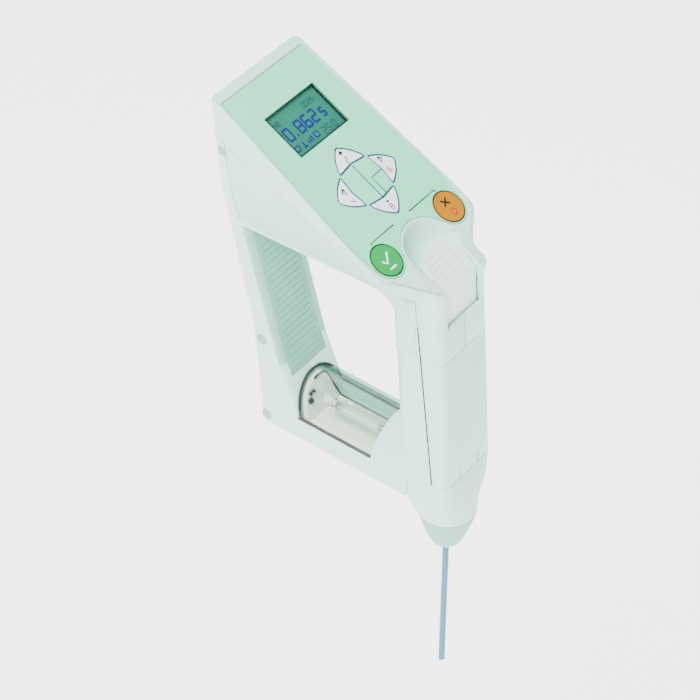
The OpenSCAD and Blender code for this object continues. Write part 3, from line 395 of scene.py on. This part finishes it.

# Window of the cell. A clear acrylic arch closes the arm over the tray and stands on a strip of
# rubber at each side; its far side is painted grey-green as shade. A rubber bead seals its near
# side and its top against the column. A thinner one runs from the top of the tray's wall down to
# the tray's edge.


def lines(name, runs, width_mm, matrix, thick_mm=None):
    """Beads through runs of points in a local frame; a thickness flattens them to printed bands."""
    curve = bpy.data.curves.new(name, "CURVE")
    curve.dimensions = "3D"
    curve.bevel_depth = width_mm / 2 * MM
    curve.bevel_resolution = 2
    curve.use_fill_caps = True
    for points in runs:
        run = curve.splines.new("POLY")
        run.points.add(len(points) - 1)
        for spot, place in zip(run.points, points):
            spot.co = (*(c * MM for c in place), 1)
    piece = bpy.data.objects.new(name, curve)
    bpy.context.scene.collection.objects.link(piece)
    only(piece)
    bpy.ops.object.convert(target="MESH")
    piece = bpy.context.object
    if thick_mm:
        level = Matrix.Translation((0, 0, runs[0][0][2] * MM))
        flat = Matrix.Diagonal((1, 1, thick_mm / width_mm, 1))
        piece.data.transform(level @ flat @ level.inverted())
    piece.data.transform(matrix)
    bpy.ops.object.shade_smooth_by_angle(angle=radians(50))
    return piece


def two_sided(node, left, right, from_x_mm, slot):
    """Shows a CAD node of the arm in two finishes, one on each side of a place across the arm."""
    piece = node_copy(node)
    paint(piece, left, right)
    finish_faces(piece, 1, lambda centre, normal: centre.x > from_x_mm * MM)
    bpy.ops.object.shade_smooth_by_angle(angle=radians(30))
    belongs(piece, "casing", slot, node)


# Cast acrylic: water clear, with its far side painted grey-green as the shade seen through the
# slanting glass. Rubber: dull and slightly rough, black on the near side and pale on the far one.
ACRYLIC = clear("acrylic_clear", "#F6FBF8", shine=0.05, ripple_mm=8)
ACRYLIC_PAINTED_SHADE = clear("acrylic_painted_shade", "#B8D1C9", shine=0.05, ripple_mm=8)
RUBBER = moulded("rubber_black", "#0C1613", "#0A1310", 0.7, grain_mm=0.3, relief=0.1, ior=1.52)
RUBBER_PALE = moulded("rubber_grey_green", "#9FC4B4", "#96BCAC", 0.6, grain_mm=0.3, ior=1.52)


def bead(name, run, width_mm):
    """A rubber bead through points in the frame of the arm."""
    piece = lines(name, [run], width_mm, ARM)
    paint(piece, RUBBER)
    belongs(piece, "casing", "seal")


SHADE_FROM_X = 4
# The window's far side takes the painted shade.
two_sided("cell_window", ACRYLIC, ACRYLIC_PAINTED_SHADE, SHADE_FROM_X, "window")
two_sided("window_gasket", RUBBER, RUBBER_PALE, 0, "seal")

ARCH_R, ARCH_DROP, ARCH_FROM, ARCH_TO, ARC_STEP = 17.3, 3.5, 44, 172, 4
COLUMN_FACE_Y, COLUMN_FACE_SLOPE = 38.5, 0.503
WINDOW_BEAD_W, TRAY_BEAD_W = 1.3, 1.1


def on_arc(radius, degrees):
    """A place across the arm and a height on an arc about the window's axis."""
    return radius * cos(radians(degrees)), radius * sin(radians(degrees)) - ARCH_DROP


arch = []
for degrees in range(ARCH_FROM, ARCH_TO + 1, ARC_STEP):
    x, z = on_arc(ARCH_R, degrees)
    arch.append((x, COLUMN_FACE_Y + COLUMN_FACE_SLOPE * z, z))
bead("window_bead", arch, WINDOW_BEAD_W)

WALL_R, WALL_FROM, WALL_TO, TRAY_EDGE = 15.8, 102, 78, 8.6
WALL_SLOPE = tan(radians(WALL_LEAN))
SHOULDER, WAIST_IN, FLANK_STEPS = (1.5, 1.1), 2.4, 12


def on_wall(x, z):
    """A point on the face of the tray's leaning wall."""
    return x, WALL_FOOT_Y + (z - TRAY_TOP) * WALL_SLOPE, z


outline = [on_arc(WALL_R, degrees) for degrees in range(WALL_FROM, WALL_TO - 1, -ARC_STEP)]
knots = (
    Vector(outline[-1]),
    Vector((TRAY_EDGE - SHOULDER[0], outline[-1][1] - SHOULDER[1])),
    Vector((TRAY_EDGE - WAIST_IN, WALL_R / 4)),
    Vector((TRAY_EDGE, TRAY_TOP)),
)
for i in range(1, FLANK_STEPS + 1):
    t = i / FLANK_STEPS
    u = 1 - t
    shares = (u ** 3, 3 * u * u * t, 3 * u * t * t, t ** 3)
    outline.append(sum((share * knot for share, knot in zip(shares, knots)), Vector((0, 0))))
sweep = [on_wall(x, z) for x, z in outline]
bead("tray_bead", sweep + [(TRAY_EDGE, RIB_START, TRAY_TOP)], TRAY_BEAD_W)

# Pump in the grip. A steel rod under the lever drives an acetal piston with a rubber ring in a
# barrel, and a wound steel spring between barrel and lever brings it back. The spring shortens as
# the lever goes down.

# Spring steel: slightly darker and duller than the stainless.
SPRING_STEEL = metal("spring_wire", "#B5BBBE", 0.3)
PUMP_Y = -4.2
COIL_R, WIRE, TURNS, TURN_STEPS = 4.75, 1.1, 9, 16
FOOT_Z, HEAD_Z = 112, 143
finish_nodes(ACETAL_CREAM, "piston", "pump_barrel", "pump_base")
finish_nodes(STEEL, "piston_rod")
finish_nodes(RUBBER, "piston_seal")
steps = TURNS * TURN_STEPS
coil = [(
    COIL_R * cos(2 * pi * i / TURN_STEPS),
    COIL_R * sin(2 * pi * i / TURN_STEPS) + PUMP_Y,
    FOOT_Z + WIRE / 2 + (HEAD_Z - FOOT_Z - WIRE) * i / steps,
) for i in range(steps + 1)]
piece = lines("pump_spring_piece", [coil], WIRE, GRIP)
paint(piece, SPRING_STEEL)
belongs(piece, "casing", "contact", "pump_spring")
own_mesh(piece)

# Thumb lever. A white ABS block slides down the grip under the thumb. Its sloped pad has shallow
# grooves, and its edges are well rounded.


def moulding(node, finish, body, slot, edge_mm=0.3, segments=2, degrees=32):
    """Shows a CAD node with the rounded edges of a moulding."""
    piece = node_copy(node)
    soften(piece, edge_mm, segments, degrees)
    paint(piece, finish)
    belongs(piece, body, slot, node)


# White ABS, painted whiter than the casing as the light falling on the lever's pad.
ABS_LEVER_PAINTED_LIGHT = moulded("abs_lever_painted_light", "#E6FBF5", "#E0F7F0", 0.42, ior=1.54)
moulding("lever", ABS_LEVER_PAINTED_LIGHT, "thumb_lever", "lever", edge_mm=0.6, segments=3)

# Collar and grip cover. Two half bands below the lever and a long cover with a snap tab close the
# user's side of the grip. They are of the same white ABS and clip to the shells, with an open joint
# along each side.

COVER_EDGE, SIDE_OPENING, MIDDLE_OPENING = 0.3, 0.35, 0.15
SQUARE = 0.99


def at_side_seam(centre, normal):
    """Faces that look at the shells across the joint."""
    in_joint = (grip_place @ centre).y > -SEAM_REACH * MM
    return in_joint and normal.dot(towards_fingers) > FACING


def at_middle_seam(centre, normal):
    """Faces where the two half bands meet."""
    return abs(normal.x) > SQUARE and abs(centre.x) < MM


def pull_back(piece, wanted, step):
    """Moves the faces of a joint back, so that the joint opens."""
    start_edit(piece)
    pick_faces(piece, wanted)
    bpy.ops.transform.translate(value=step)
    bpy.ops.object.mode_set(mode="OBJECT")


for node, side in (("collar_left", -1), ("collar_right", 1), ("grip_cover", 0)):
    piece = node_copy(node)
    pull_back(piece, at_side_seam, -towards_fingers * SIDE_OPENING * MM)
    if side:
        pull_back(piece, at_middle_seam, (side * MIDDLE_OPENING * MM, 0, 0))
    soften(piece, COVER_EDGE)
    paint(piece, ABS_WHITE)
    belongs(piece, "casing", "casing", node)

# Nozzle and sampling tube. A turned plastic cap ends the nose, plugged in with a spigot; its
# darker, greener colour is painted shade.
# The narrow tube that dips into the sample is drawn from a fluoropolymer.

# Mint ABS with the casing's sheen, painted darker and greener than the casing as the shade on the
# downward-facing cap. Fluoropolymer: bluish and slightly see-through.
ABS_NOZZLE_PAINTED_SHADE = moulded("abs_nozzle_painted_shade", "#7DC1B0", "#74B9A8", 0.42, ior=1.54)
PTFE = moulded("fluoropolymer_bluish", "#5290A8", "#4A879F", 0.3, transmission_weight=0.2, ior=1.35)
moulding("nozzle_cap", ABS_NOZZLE_PAINTED_SHADE, "casing", "casing")
finish_nodes(PTFE, "sampling_tube")

# Batteries. Two cells sit in a black nylon holder with steel contacts, behind a white ABS door at
# the far end of the head that slides straight off.

# Printed battery sleeve: grey, with a soft gloss.
PRINTED_SLEEVE = moulded("battery_sleeve_grey", "#4A4F55", "#41464C", 0.35, ior=1.5)
finish_nodes(NYLON_BLACK, "battery_holder")
finish_nodes(PRINTED_SLEEVE, "batteries")
finish_nodes(STEEL, "battery_contacts")
moulding("battery_door", ABS_WHITE, "door", "casing")

# Circuit board. A glass-fibre board with green mask hangs below the panel on four screws, with a
# steel snap dome under each key.

# Solder mask: dark green, with a soft gloss.
BOARD_MASK = moulded("board_mask_green", "#2F6B4A", "#2A6344", 0.4, ior=1.55)
finish_nodes(BOARD_MASK, "main_board")
finish_nodes(STEEL, "board_screws", "key_domes")

# Display. A teal liquid crystal lies in a dark frame under a clear lens. It shows a plain reading
# in blue figures with fainter rows above and below, all made of straight segments.

PANEL_TILT = 31
PANEL = turned_frame((0, 76.8, 274.1), PANEL_TILT)
PIXEL, PIXEL_GAP = 1.3, 0.02


def liquid_crystal(name, light, dark, gap):
    """Teal ground with a faint grid of pixels, coarser than the real 0.3 mm so that it shows."""
    made, tree = new_material(name)
    place = add(tree, "TexCoord")
    turn = add(tree, "Mapping", [("Vector", place, "Object")],
               rotation=(radians(-PANEL_TILT), 0, 0))
    grid = add(tree, "TexBrick", [("Vector", turn, "Vector")],
               scale=1 / (PIXEL * MM), mortar_size=PIXEL_GAP, offset=0,
               color1=srgb(light), color2=srgb(dark), mortar=srgb(gap))
    skin = add(tree, "BsdfPrincipled", [("Base Color", grid, "Color")], roughness=0.45)
    add(tree, "OutputMaterial", [("Surface", skin, 0)])
    return made


SEGMENTS = {
    "a": ((0, 2), (1, 2)), "b": ((1, 2), (1, 1)), "c": ((1, 1), (1, 0)), "d": ((0, 0), (1, 0)),
    "e": ((0, 0), (0, 1)), "f": ((0, 1), (0, 2)), "g": ((0, 1), (1, 1)),
}
FIGURES = {
    "0": "abcdef", "2": "abged", "4": "fgbc", "5": "afgcd", "6": "afgedc", "8": "abcdefg",
}
FIGURE_W, FIGURE_PITCH = 0.56, 0.85
PRINT_T = 0.06


def number(text, x, y, high):
    """Strokes for the figures of a number whose upper left corner is at x, y on the panel."""
    strokes = []
    wide = high * FIGURE_W
    for i, figure in enumerate(text):
        left = x + i * high * FIGURE_PITCH
        for name in FIGURES[figure]:
            ends = SEGMENTS[name]
            strokes.append([(left + u * wide, y - high + v * high / 2) for u, v in ends])
    return strokes


def marks(name, strokes, level, width_mm, finish, body, slot):
    """Thin lines on the panel at a height over its plane: segments of the crystal, or print."""
    runs = [[(x, y, level) for x, y in stroke] for stroke in strokes]
    piece = lines(name, runs, width_mm, PANEL, PRINT_T)
    paint(piece, finish)
    belongs(piece, body, slot)


# Liquid crystal: teal, dark blue where it is switched on, fainter in the small rows. Display frame:
# dark green and dull. Lens of acrylic: clear, with hardly a shine.
CRYSTAL_TEAL = liquid_crystal("liquid_crystal_teal", "#1B7F6E", "#187665", "#146656")
LCD_INK = moulded("crystal_dark_blue", "#030F80", "#030D74", 0.4)
LCD_FAINT = moulded("crystal_faint_blue", "#12465C", "#103F54", 0.4)
FRAME_GREEN = moulded("frame_dark_green", "#06241D", "#051F19", 0.4)
LENS = clear("lens_acrylic", "#F2FAF7", shine=0.015, ripple_mm=8)
finish_nodes(CRYSTAL_TEAL, "lcd_module")
finish_nodes(FRAME_GREEN, "lcd_frame")
finish_nodes(LENS, "lcd_window")

LENS_X, LENS_Y, LENS_TOP, LENS_SHADOW_W = 16.74, 10.69, -0.12, 0.65
# A dark band on the lens's left and lower edges, in the frame's finish, stands for the frame's dark
# walls seen at a slant, with painted shadow.
marks("lens_edge_painted_shadow", [((-LENS_X, LENS_Y), (-LENS_X, -LENS_Y), (LENS_X, -LENS_Y))], LENS_TOP,
      LENS_SHADOW_W, FRAME_GREEN, "casing", "display")

GLASS_TOP = -2.56
READING_Y, READING_H, LAST_H = 2.95, 5.8, 4
TEMPERATURE_Y, TEMPERATURE_H = -6.2, 3.4
UPPER_Y, UPPER_LEFT_H, UPPER_RIGHT_H = 7.6, 2.3, 2.5
reading = number("0", -12.9, READING_Y, READING_H)
reading += number("862", -5, READING_Y, READING_H)
reading += number("5", 10.8, READING_Y - READING_H + LAST_H, LAST_H)
temperature = number("25", 4.6, TEMPERATURE_Y, TEMPERATURE_H)
temperature += number("0", 11.2, TEMPERATURE_Y, TEMPERATURE_H)
upper_row = number("48", -14, UPPER_Y, UPPER_LEFT_H)
upper_row += number("0026", 5.6, UPPER_Y, UPPER_RIGHT_H)
lower_row = [
    ((-14.4, -8.2), (-11.6, -8.2), (-11.6, -5.8), (-14.4, -5.8), (-14.4, -8.2)),
    ((-9.8, -8.4), (-7.4, -8.4)),
    ((-8.6, -8.2), (-8.6, -5.6)),
    ((-5.6, -8.4), (-5.6, -6.6)),
    ((-4.2, -8.4), (-4.2, -6)),
    ((-2.8, -8.4), (-2.8, -5.4)),
    ((-0.8, -8.2), (1.8, -8.2), (1.8, -5.6), (-0.8, -5.6), (-0.8, -8.2)),
]
for name, strokes, width_mm, finish in (
    ("reading", reading, 1, LCD_INK),
    ("reading_point", [((-7.7, -2.4), (-6.9, -2.4))], 1.3, LCD_INK),
    ("temperature", temperature, 0.5, LCD_FAINT),
    ("upper_row", upper_row, 0.42, LCD_FAINT),
    ("lower_row", lower_row, 0.75, LCD_INK),
):
    marks(name, strokes, GLASS_TOP, width_mm, finish, "casing", "display")

# Head cover. One white ABS moulding holds the panel, the keys and the display. It flares out beside
# the round keys and dips into a cup behind the lever.

moulding("head_cover", ABS_WHITE, "casing", "casing", edge_mm=0.4, degrees=50)

# Overlay film. A mint polyester film is stuck in a shallow recess of the panel. A thin dark line
# runs round its edge, and printed lines tie the keys together.

PANEL_UP = PANEL.to_3x3() @ Vector((0, 0, 1))
LEVEL_SLACK = 0.06


def on_top(depth_mm):
    """A test for faces that lie a depth below the panel's plane and look up from it."""
    level = PANEL_UP.dot(PANEL.translation) - depth_mm * MM

    def passes(centre, normal):
        at_level = abs(PANEL_UP.dot(centre) - level) < LEVEL_SLACK * MM
        return at_level and normal.dot(PANEL_UP) > SQUARE

    return passes


# Polyester film: matt, finely grained. Its edge and the print on it are screen inks, flat and dark.
FILM_MINT = moulded("polyester_film_mint", "#74E6B8", "#6EE1B1", 0.42,
                    grain_mm=0.3, relief=0.03, ior=1.6)
INK_EDGE = moulded("ink_edge_grey", "#141C19", "#111815", 0.6)
INK_GREEN = moulded("ink_dark_green", "#0C211D", "#0A1C19", 0.55)
INK_SLATE = moulded("ink_slate_blue", "#1C3C5C", "#193754", 0.5)

FILM_TOP, FILM_DEPTH, FILM_EDGE, TIE_W = -0.08, 0.1, 0.22, 0.6
ARROWS_X, ARROWS_Y = 22, (-57, -14)
ROUND_X, ROUND_Y, ROUND_REACH = 23.3, -67, 8.4
piece = node_copy("panel_overlay")
paint(piece, FILM_MINT, INK_EDGE)
start_edit(piece)
pick_faces(piece, on_top(FILM_DEPTH))
bpy.ops.mesh.region_to_loop()
mesh = bmesh.from_edit_mesh(piece.data)
panel_place = PANEL.inverted()
for edge in mesh.edges:
    if edge.select:
        spot = panel_place @ ((edge.verts[0].co + edge.verts[1].co) / 2) / MM
        by_arrows = abs(spot.x) < ARROWS_X and ARROWS_Y[0] < spot.y < ARROWS_Y[1]
        by_round = Vector((abs(spot.x) - ROUND_X, spot.y - ROUND_Y)).length < ROUND_REACH
        if by_arrows or by_round:
            edge.select_set(False)
bmesh.update_edit_mesh(piece.data)
bpy.ops.mesh.bevel(offset=FILM_EDGE * MM, segments=1, affect="EDGES", material=1)
bpy.ops.object.mode_set(mode="OBJECT")
bpy.ops.object.shade_flat()
belongs(piece, "casing", "overlay", "panel_overlay")
marks("arrow_ties", [
    ((0, -27.2), (0, -45.9)),
    ((10.4, -36.2), (3.3, -36.3), (3.3, -44.9)),
], FILM_TOP, TIE_W, INK_SLATE, "casing", "overlay")
marks("round_key_ties", [
    ((-23.3, -58.6), (-23.3, -57.5), (-6.7, -57.5)),
    ((4.9, -57.5), (23.8, -57.5), (23.8, -58.6)),
], FILM_TOP, TIE_W, INK_GREEN, "casing", "overlay")

# Keys. Four white arrow keys and two round ones, green and orange, stand in the film. Each is a
# moulded cap with a printed rim, a slightly raised face and plain signs and numbers. It presses a
# dome on the board.

FACE_EDGE, FACE_RISE = 0.1, 0.05


def key_cap(node, slot, finish, rim, rim_mm):
    """Shows a key with a rim in another finish round its raised face."""
    piece = node_copy(node)
    paint(piece, finish, rim)
    start_edit(piece)
    pick_faces(piece, on_top(0))
    piece.active_material_index = 1
    bpy.ops.object.material_slot_assign()
    bpy.ops.mesh.inset(thickness=rim_mm * MM)
    piece.active_material_index = 0
    bpy.ops.object.material_slot_assign()
    bpy.ops.mesh.inset(thickness=FACE_EDGE * MM, depth=FACE_RISE * MM)
    bpy.ops.object.mode_set(mode="OBJECT")
    bpy.ops.object.shade_smooth_by_angle(angle=radians(25))
    belongs(piece, node + "_body", slot, node)


# Polycarbonate caps: smooth and softly glossy in white, silk matt in green and orange. Rims and
# signs are screen inks.
CAP_WHITE = moulded("cap_white", "#E6F3F8", "#DDEEF5", 0.4, grain_mm=0.3, relief=0.03, ior=1.58)
CAP_GREEN = moulded("cap_green", "#009A46", "#009242", 0.5,
                    grain_mm=0.3, relief=0.03, specular_ior_level=0.1)
CAP_ORANGE = moulded("cap_orange", "#AE7200", "#A66C00", 0.5,
                     grain_mm=0.3, relief=0.03, specular_ior_level=0.1)
RIM_GREEN = moulded("rim_dark_green", "#043019", "#032914", 0.45)
RIM_ORANGE = moulded("rim_dark_brown", "#201606", "#1B1205", 0.45)
INK_BLACK = moulded("ink_black", "#060A0A", "#050808", 0.5)
INK_RED = moulded("ink_red", "#B8140A", "#AC1209", 0.5)
INK_PALE = moulded("ink_pale", "#E9FFF2", "#E2FBEC", 0.5)

ARROW_RIM, ROUND_RIM = 0.65, 0.5
for node in ("key_up", "key_down", "key_left", "key_right"):
    key_cap(node, "arrow_key", CAP_WHITE, INK_SLATE, ARROW_RIM)
key_cap("ok_key", "ok_key", CAP_GREEN, RIM_GREEN, ROUND_RIM)
key_cap("escape_key", "escape_key", CAP_ORANGE, RIM_ORANGE, ROUND_RIM)

FACE_TOP = 0.06
SIGN_W, NUMBER_W, NUMBER_H = 0.8, 0.5, 2.5
for side, sign, figure, x, y in (
    ("up", [((-1.1, -20), (1.1, -20)), ((0, -21.1), (0, -18.9))], "2", -0.7, -22.6),
    ("down", [((-0.8, -48.4), (0.8, -48.4))], "8", -0.7, -50),
    ("left", [((-13.4, -32.4), (-15.2, -33.8), (-13.4, -35.2), (-13.4, -32.4))], "4", -14.4, -38),
    ("right", [((13.4, -31.2), (15.2, -32.6), (13.4, -34), (13.4, -31.2))], "6", 13, -37.2),
):
    body = "key_" + side + "_body"
    marks(side + "_sign", sign, FACE_TOP, SIGN_W, INK_BLACK, body, "arrow_key")
    figures = number(figure, x, y, NUMBER_H)
    marks(side + "_number", figures, FACE_TOP, NUMBER_W, INK_RED, body, "arrow_key")

RING_R, RING_Y, RING_TURN = 1.6, -70, range(130, 411, 20)
ring = [
    (ROUND_X + RING_R * cos(radians(a)), RING_Y + RING_R * sin(radians(a))) for a in RING_TURN
]
for name, sign, width_mm, finish, key in (
    ("ok_sign", [((-26, -66.4), (-24.1, -68.3), (-20.4, -64.2))], 1, INK_PALE, "ok_key"),
    ("ok_bar", [((-25.4, -71), (-21.2, -71))], 0.8, INK_PALE, "ok_key"),
    ("escape_sign", [((21.4, -63), (25.2, -66.2)), ((25.2, -63), (21.4, -66.2))], 0.9, INK_BLACK,
     "escape_key"),
    ("escape_ring", [ring, ((ROUND_X, -69.5), (ROUND_X, -67.9))], 0.6, INK_RED, "escape_key"),
):
    marks(name, sign, FACE_TOP, width_mm, finish, key + "_body", key)

# Label. A matt green foil is stuck in a shallow recess of the column's inner face, with pressed
# lines, the lower ones inked darker. Its lower end is folded over the bend of the column.

# Foil: green and matt. Its ink: a darker green.
LABEL_GREEN = moulded("label_foil_green", "#66AC9B", "#5FA493", 0.5, grain_mm=0.3)
LABEL_INK = moulded("label_ink_green", "#2F6658", "#2A5E51", 0.55)
INKED_TO, GROOVE_Y = 44, 0.1


def inked(centre, normal):
    """Floors of the lower pressed lines."""
    spot = column_place @ centre / MM
    return normal.dot(towards_grip) > FACING and spot.y > GROOVE_Y and spot.z < INKED_TO


piece = node_copy("label_plate")
paint(piece, LABEL_GREEN, LABEL_INK)
finish_faces(piece, 1, inked)
belongs(piece, "casing", "label", "label_plate")

COLUMN_FOOT = turned_frame(BEND, -21.7)
FOIL_W, FOIL_T, FOIL_PROUD, FOIL_EDGE = 26, 0.3, 0.08, 0.03
ABOVE_BEND, BELOW_BEND = 1.7, 7.5
RULE_W, RULE_X, RULE_Y = 0.3, 10.5, 0.03
UPPER_RULES, LOWER_RULES = (1.3,), (-1.8, -4.7)


def foil(name, z, high, matrix):
    """A flat length of the label about a height in a local frame."""
    return bar(name, (0, FOIL_T / 2 - FOIL_PROUD, z), (FOIL_W, FOIL_T, high), matrix, FOIL_EDGE)


def rules(name, heights, matrix):
    """Inked lines across the label."""
    runs = [[(-RULE_X, RULE_Y, z), (RULE_X, RULE_Y, z)] for z in heights]
    return lines(name, runs, RULE_W, matrix)


upper = foil("label_foot", ABOVE_BEND / 2, ABOVE_BEND, COLUMN)
lower = foil("label_end", -BELOW_BEND / 2, BELOW_BEND, COLUMN_FOOT)
piece = joined("label_foot", [upper, lower])
paint(piece, LABEL_GREEN)
belongs(piece, "casing", "label")
upper = rules("label_rule", UPPER_RULES, COLUMN)
lower = rules("label_rules", LOWER_RULES, COLUMN_FOOT)
piece = joined("label_rules", [upper, lower])
paint(piece, LABEL_INK)
belongs(piece, "casing", "label")

# Case screws and their plugs. Two long steel screws pull the shells together, and a short one holds
# the battery holder in the head. A grey-green plastic plug with a rounded rim hides each of them.

# Plug plastic: grey-green and duller than the casing.
PLUG_GREY = moulded("plug_grey_green", "#84B6AB", "#7BADA2", 0.5, ior=1.5)
finish_nodes(STEEL, "case_screws")
moulding("screw_plugs", PLUG_GREY, "casing", "plug")

# Camera. Its place, aim, roll and lens are solved from the photograph.

EYE = Vector((-829.4, -522.7, 978.1)) * MM
AIM = Vector((12.87, 62.7, 147.4)) * MM
ROLL = radians(0.52)
ahead = (AIM - EYE).normalized()
level_right = ahead.cross(Vector((0, 0, 1))).normalized()
level_up = level_right.cross(ahead)
right = level_right * cos(ROLL) + level_up * sin(ROLL)
up = level_up * cos(ROLL) - level_right * sin(ROLL)
camera_data = bpy.data.cameras.new("camera")
camera_data.sensor_width = 36
camera_data.lens = 151.25
camera = bpy.data.objects.new("camera", camera_data)
camera.matrix_world = Matrix((
    (right.x, up.x, -ahead.x, EYE.x),
    (right.y, up.y, -ahead.y, EYE.y),
    (right.z, up.z, -ahead.z, EYE.z),
    (0, 0, 0, 1),
))
bpy.context.scene.collection.objects.link(camera)
bpy.context.scene.camera = camera

# Studio. A white, softly glowing floor lies well below the meter, which is held in the hand. A
# large lamp on the left and a weak one on the right light it, under an even pale sky.


def soft_light(name, place, aim, size, watts):
    """A square lamp that looks at a place."""
    lamp = bpy.data.lights.new(name, "AREA")
    lamp.size = size
    lamp.energy = watts
    light = bpy.data.objects.new(name, lamp)
    light.location = place
    light.rotation_euler = (Vector(aim) - Vector(place)).to_track_quat("-Z", "Y").to_euler()
    bpy.context.scene.collection.objects.link(light)


FLOOR_SIZE, FLOOR_Z, FLOOR_GLOW, SKY = 60, -0.45, 2.8, 0.8
PAPER_WHITE = (0.95, 0.95, 0.95, 1)
bpy.ops.mesh.primitive_plane_add(size=FLOOR_SIZE, location=(0, 0, FLOOR_Z))
floor = bpy.context.object
floor.name = "floor"
floor_material, tree = new_material("floor_white")
paint(floor, floor_material)
glow = add(tree, "BsdfPrincipled", base_color=PAPER_WHITE, roughness=0.9,
           emission_color=PAPER_WHITE, emission_strength=FLOOR_GLOW)
add(tree, "OutputMaterial", [("Surface", glow, 0)])

world = bpy.data.worlds.new("studio")
bpy.context.scene.world = world
world.use_nodes = True
sky = world.node_tree.nodes["Background"]
sky.inputs["Color"].default_value = (1, 1, 1, 1)
sky.inputs["Strength"].default_value = SKY
MIDDLE = (0, 0.05, 0.17)
soft_light("key_light", (-1.1, -0.05, 1.85), MIDDLE, size=0.8, watts=105)
soft_light("fill_light", (1.2, 0.9, 1.2), MIDDLE, size=1.0, watts=12)
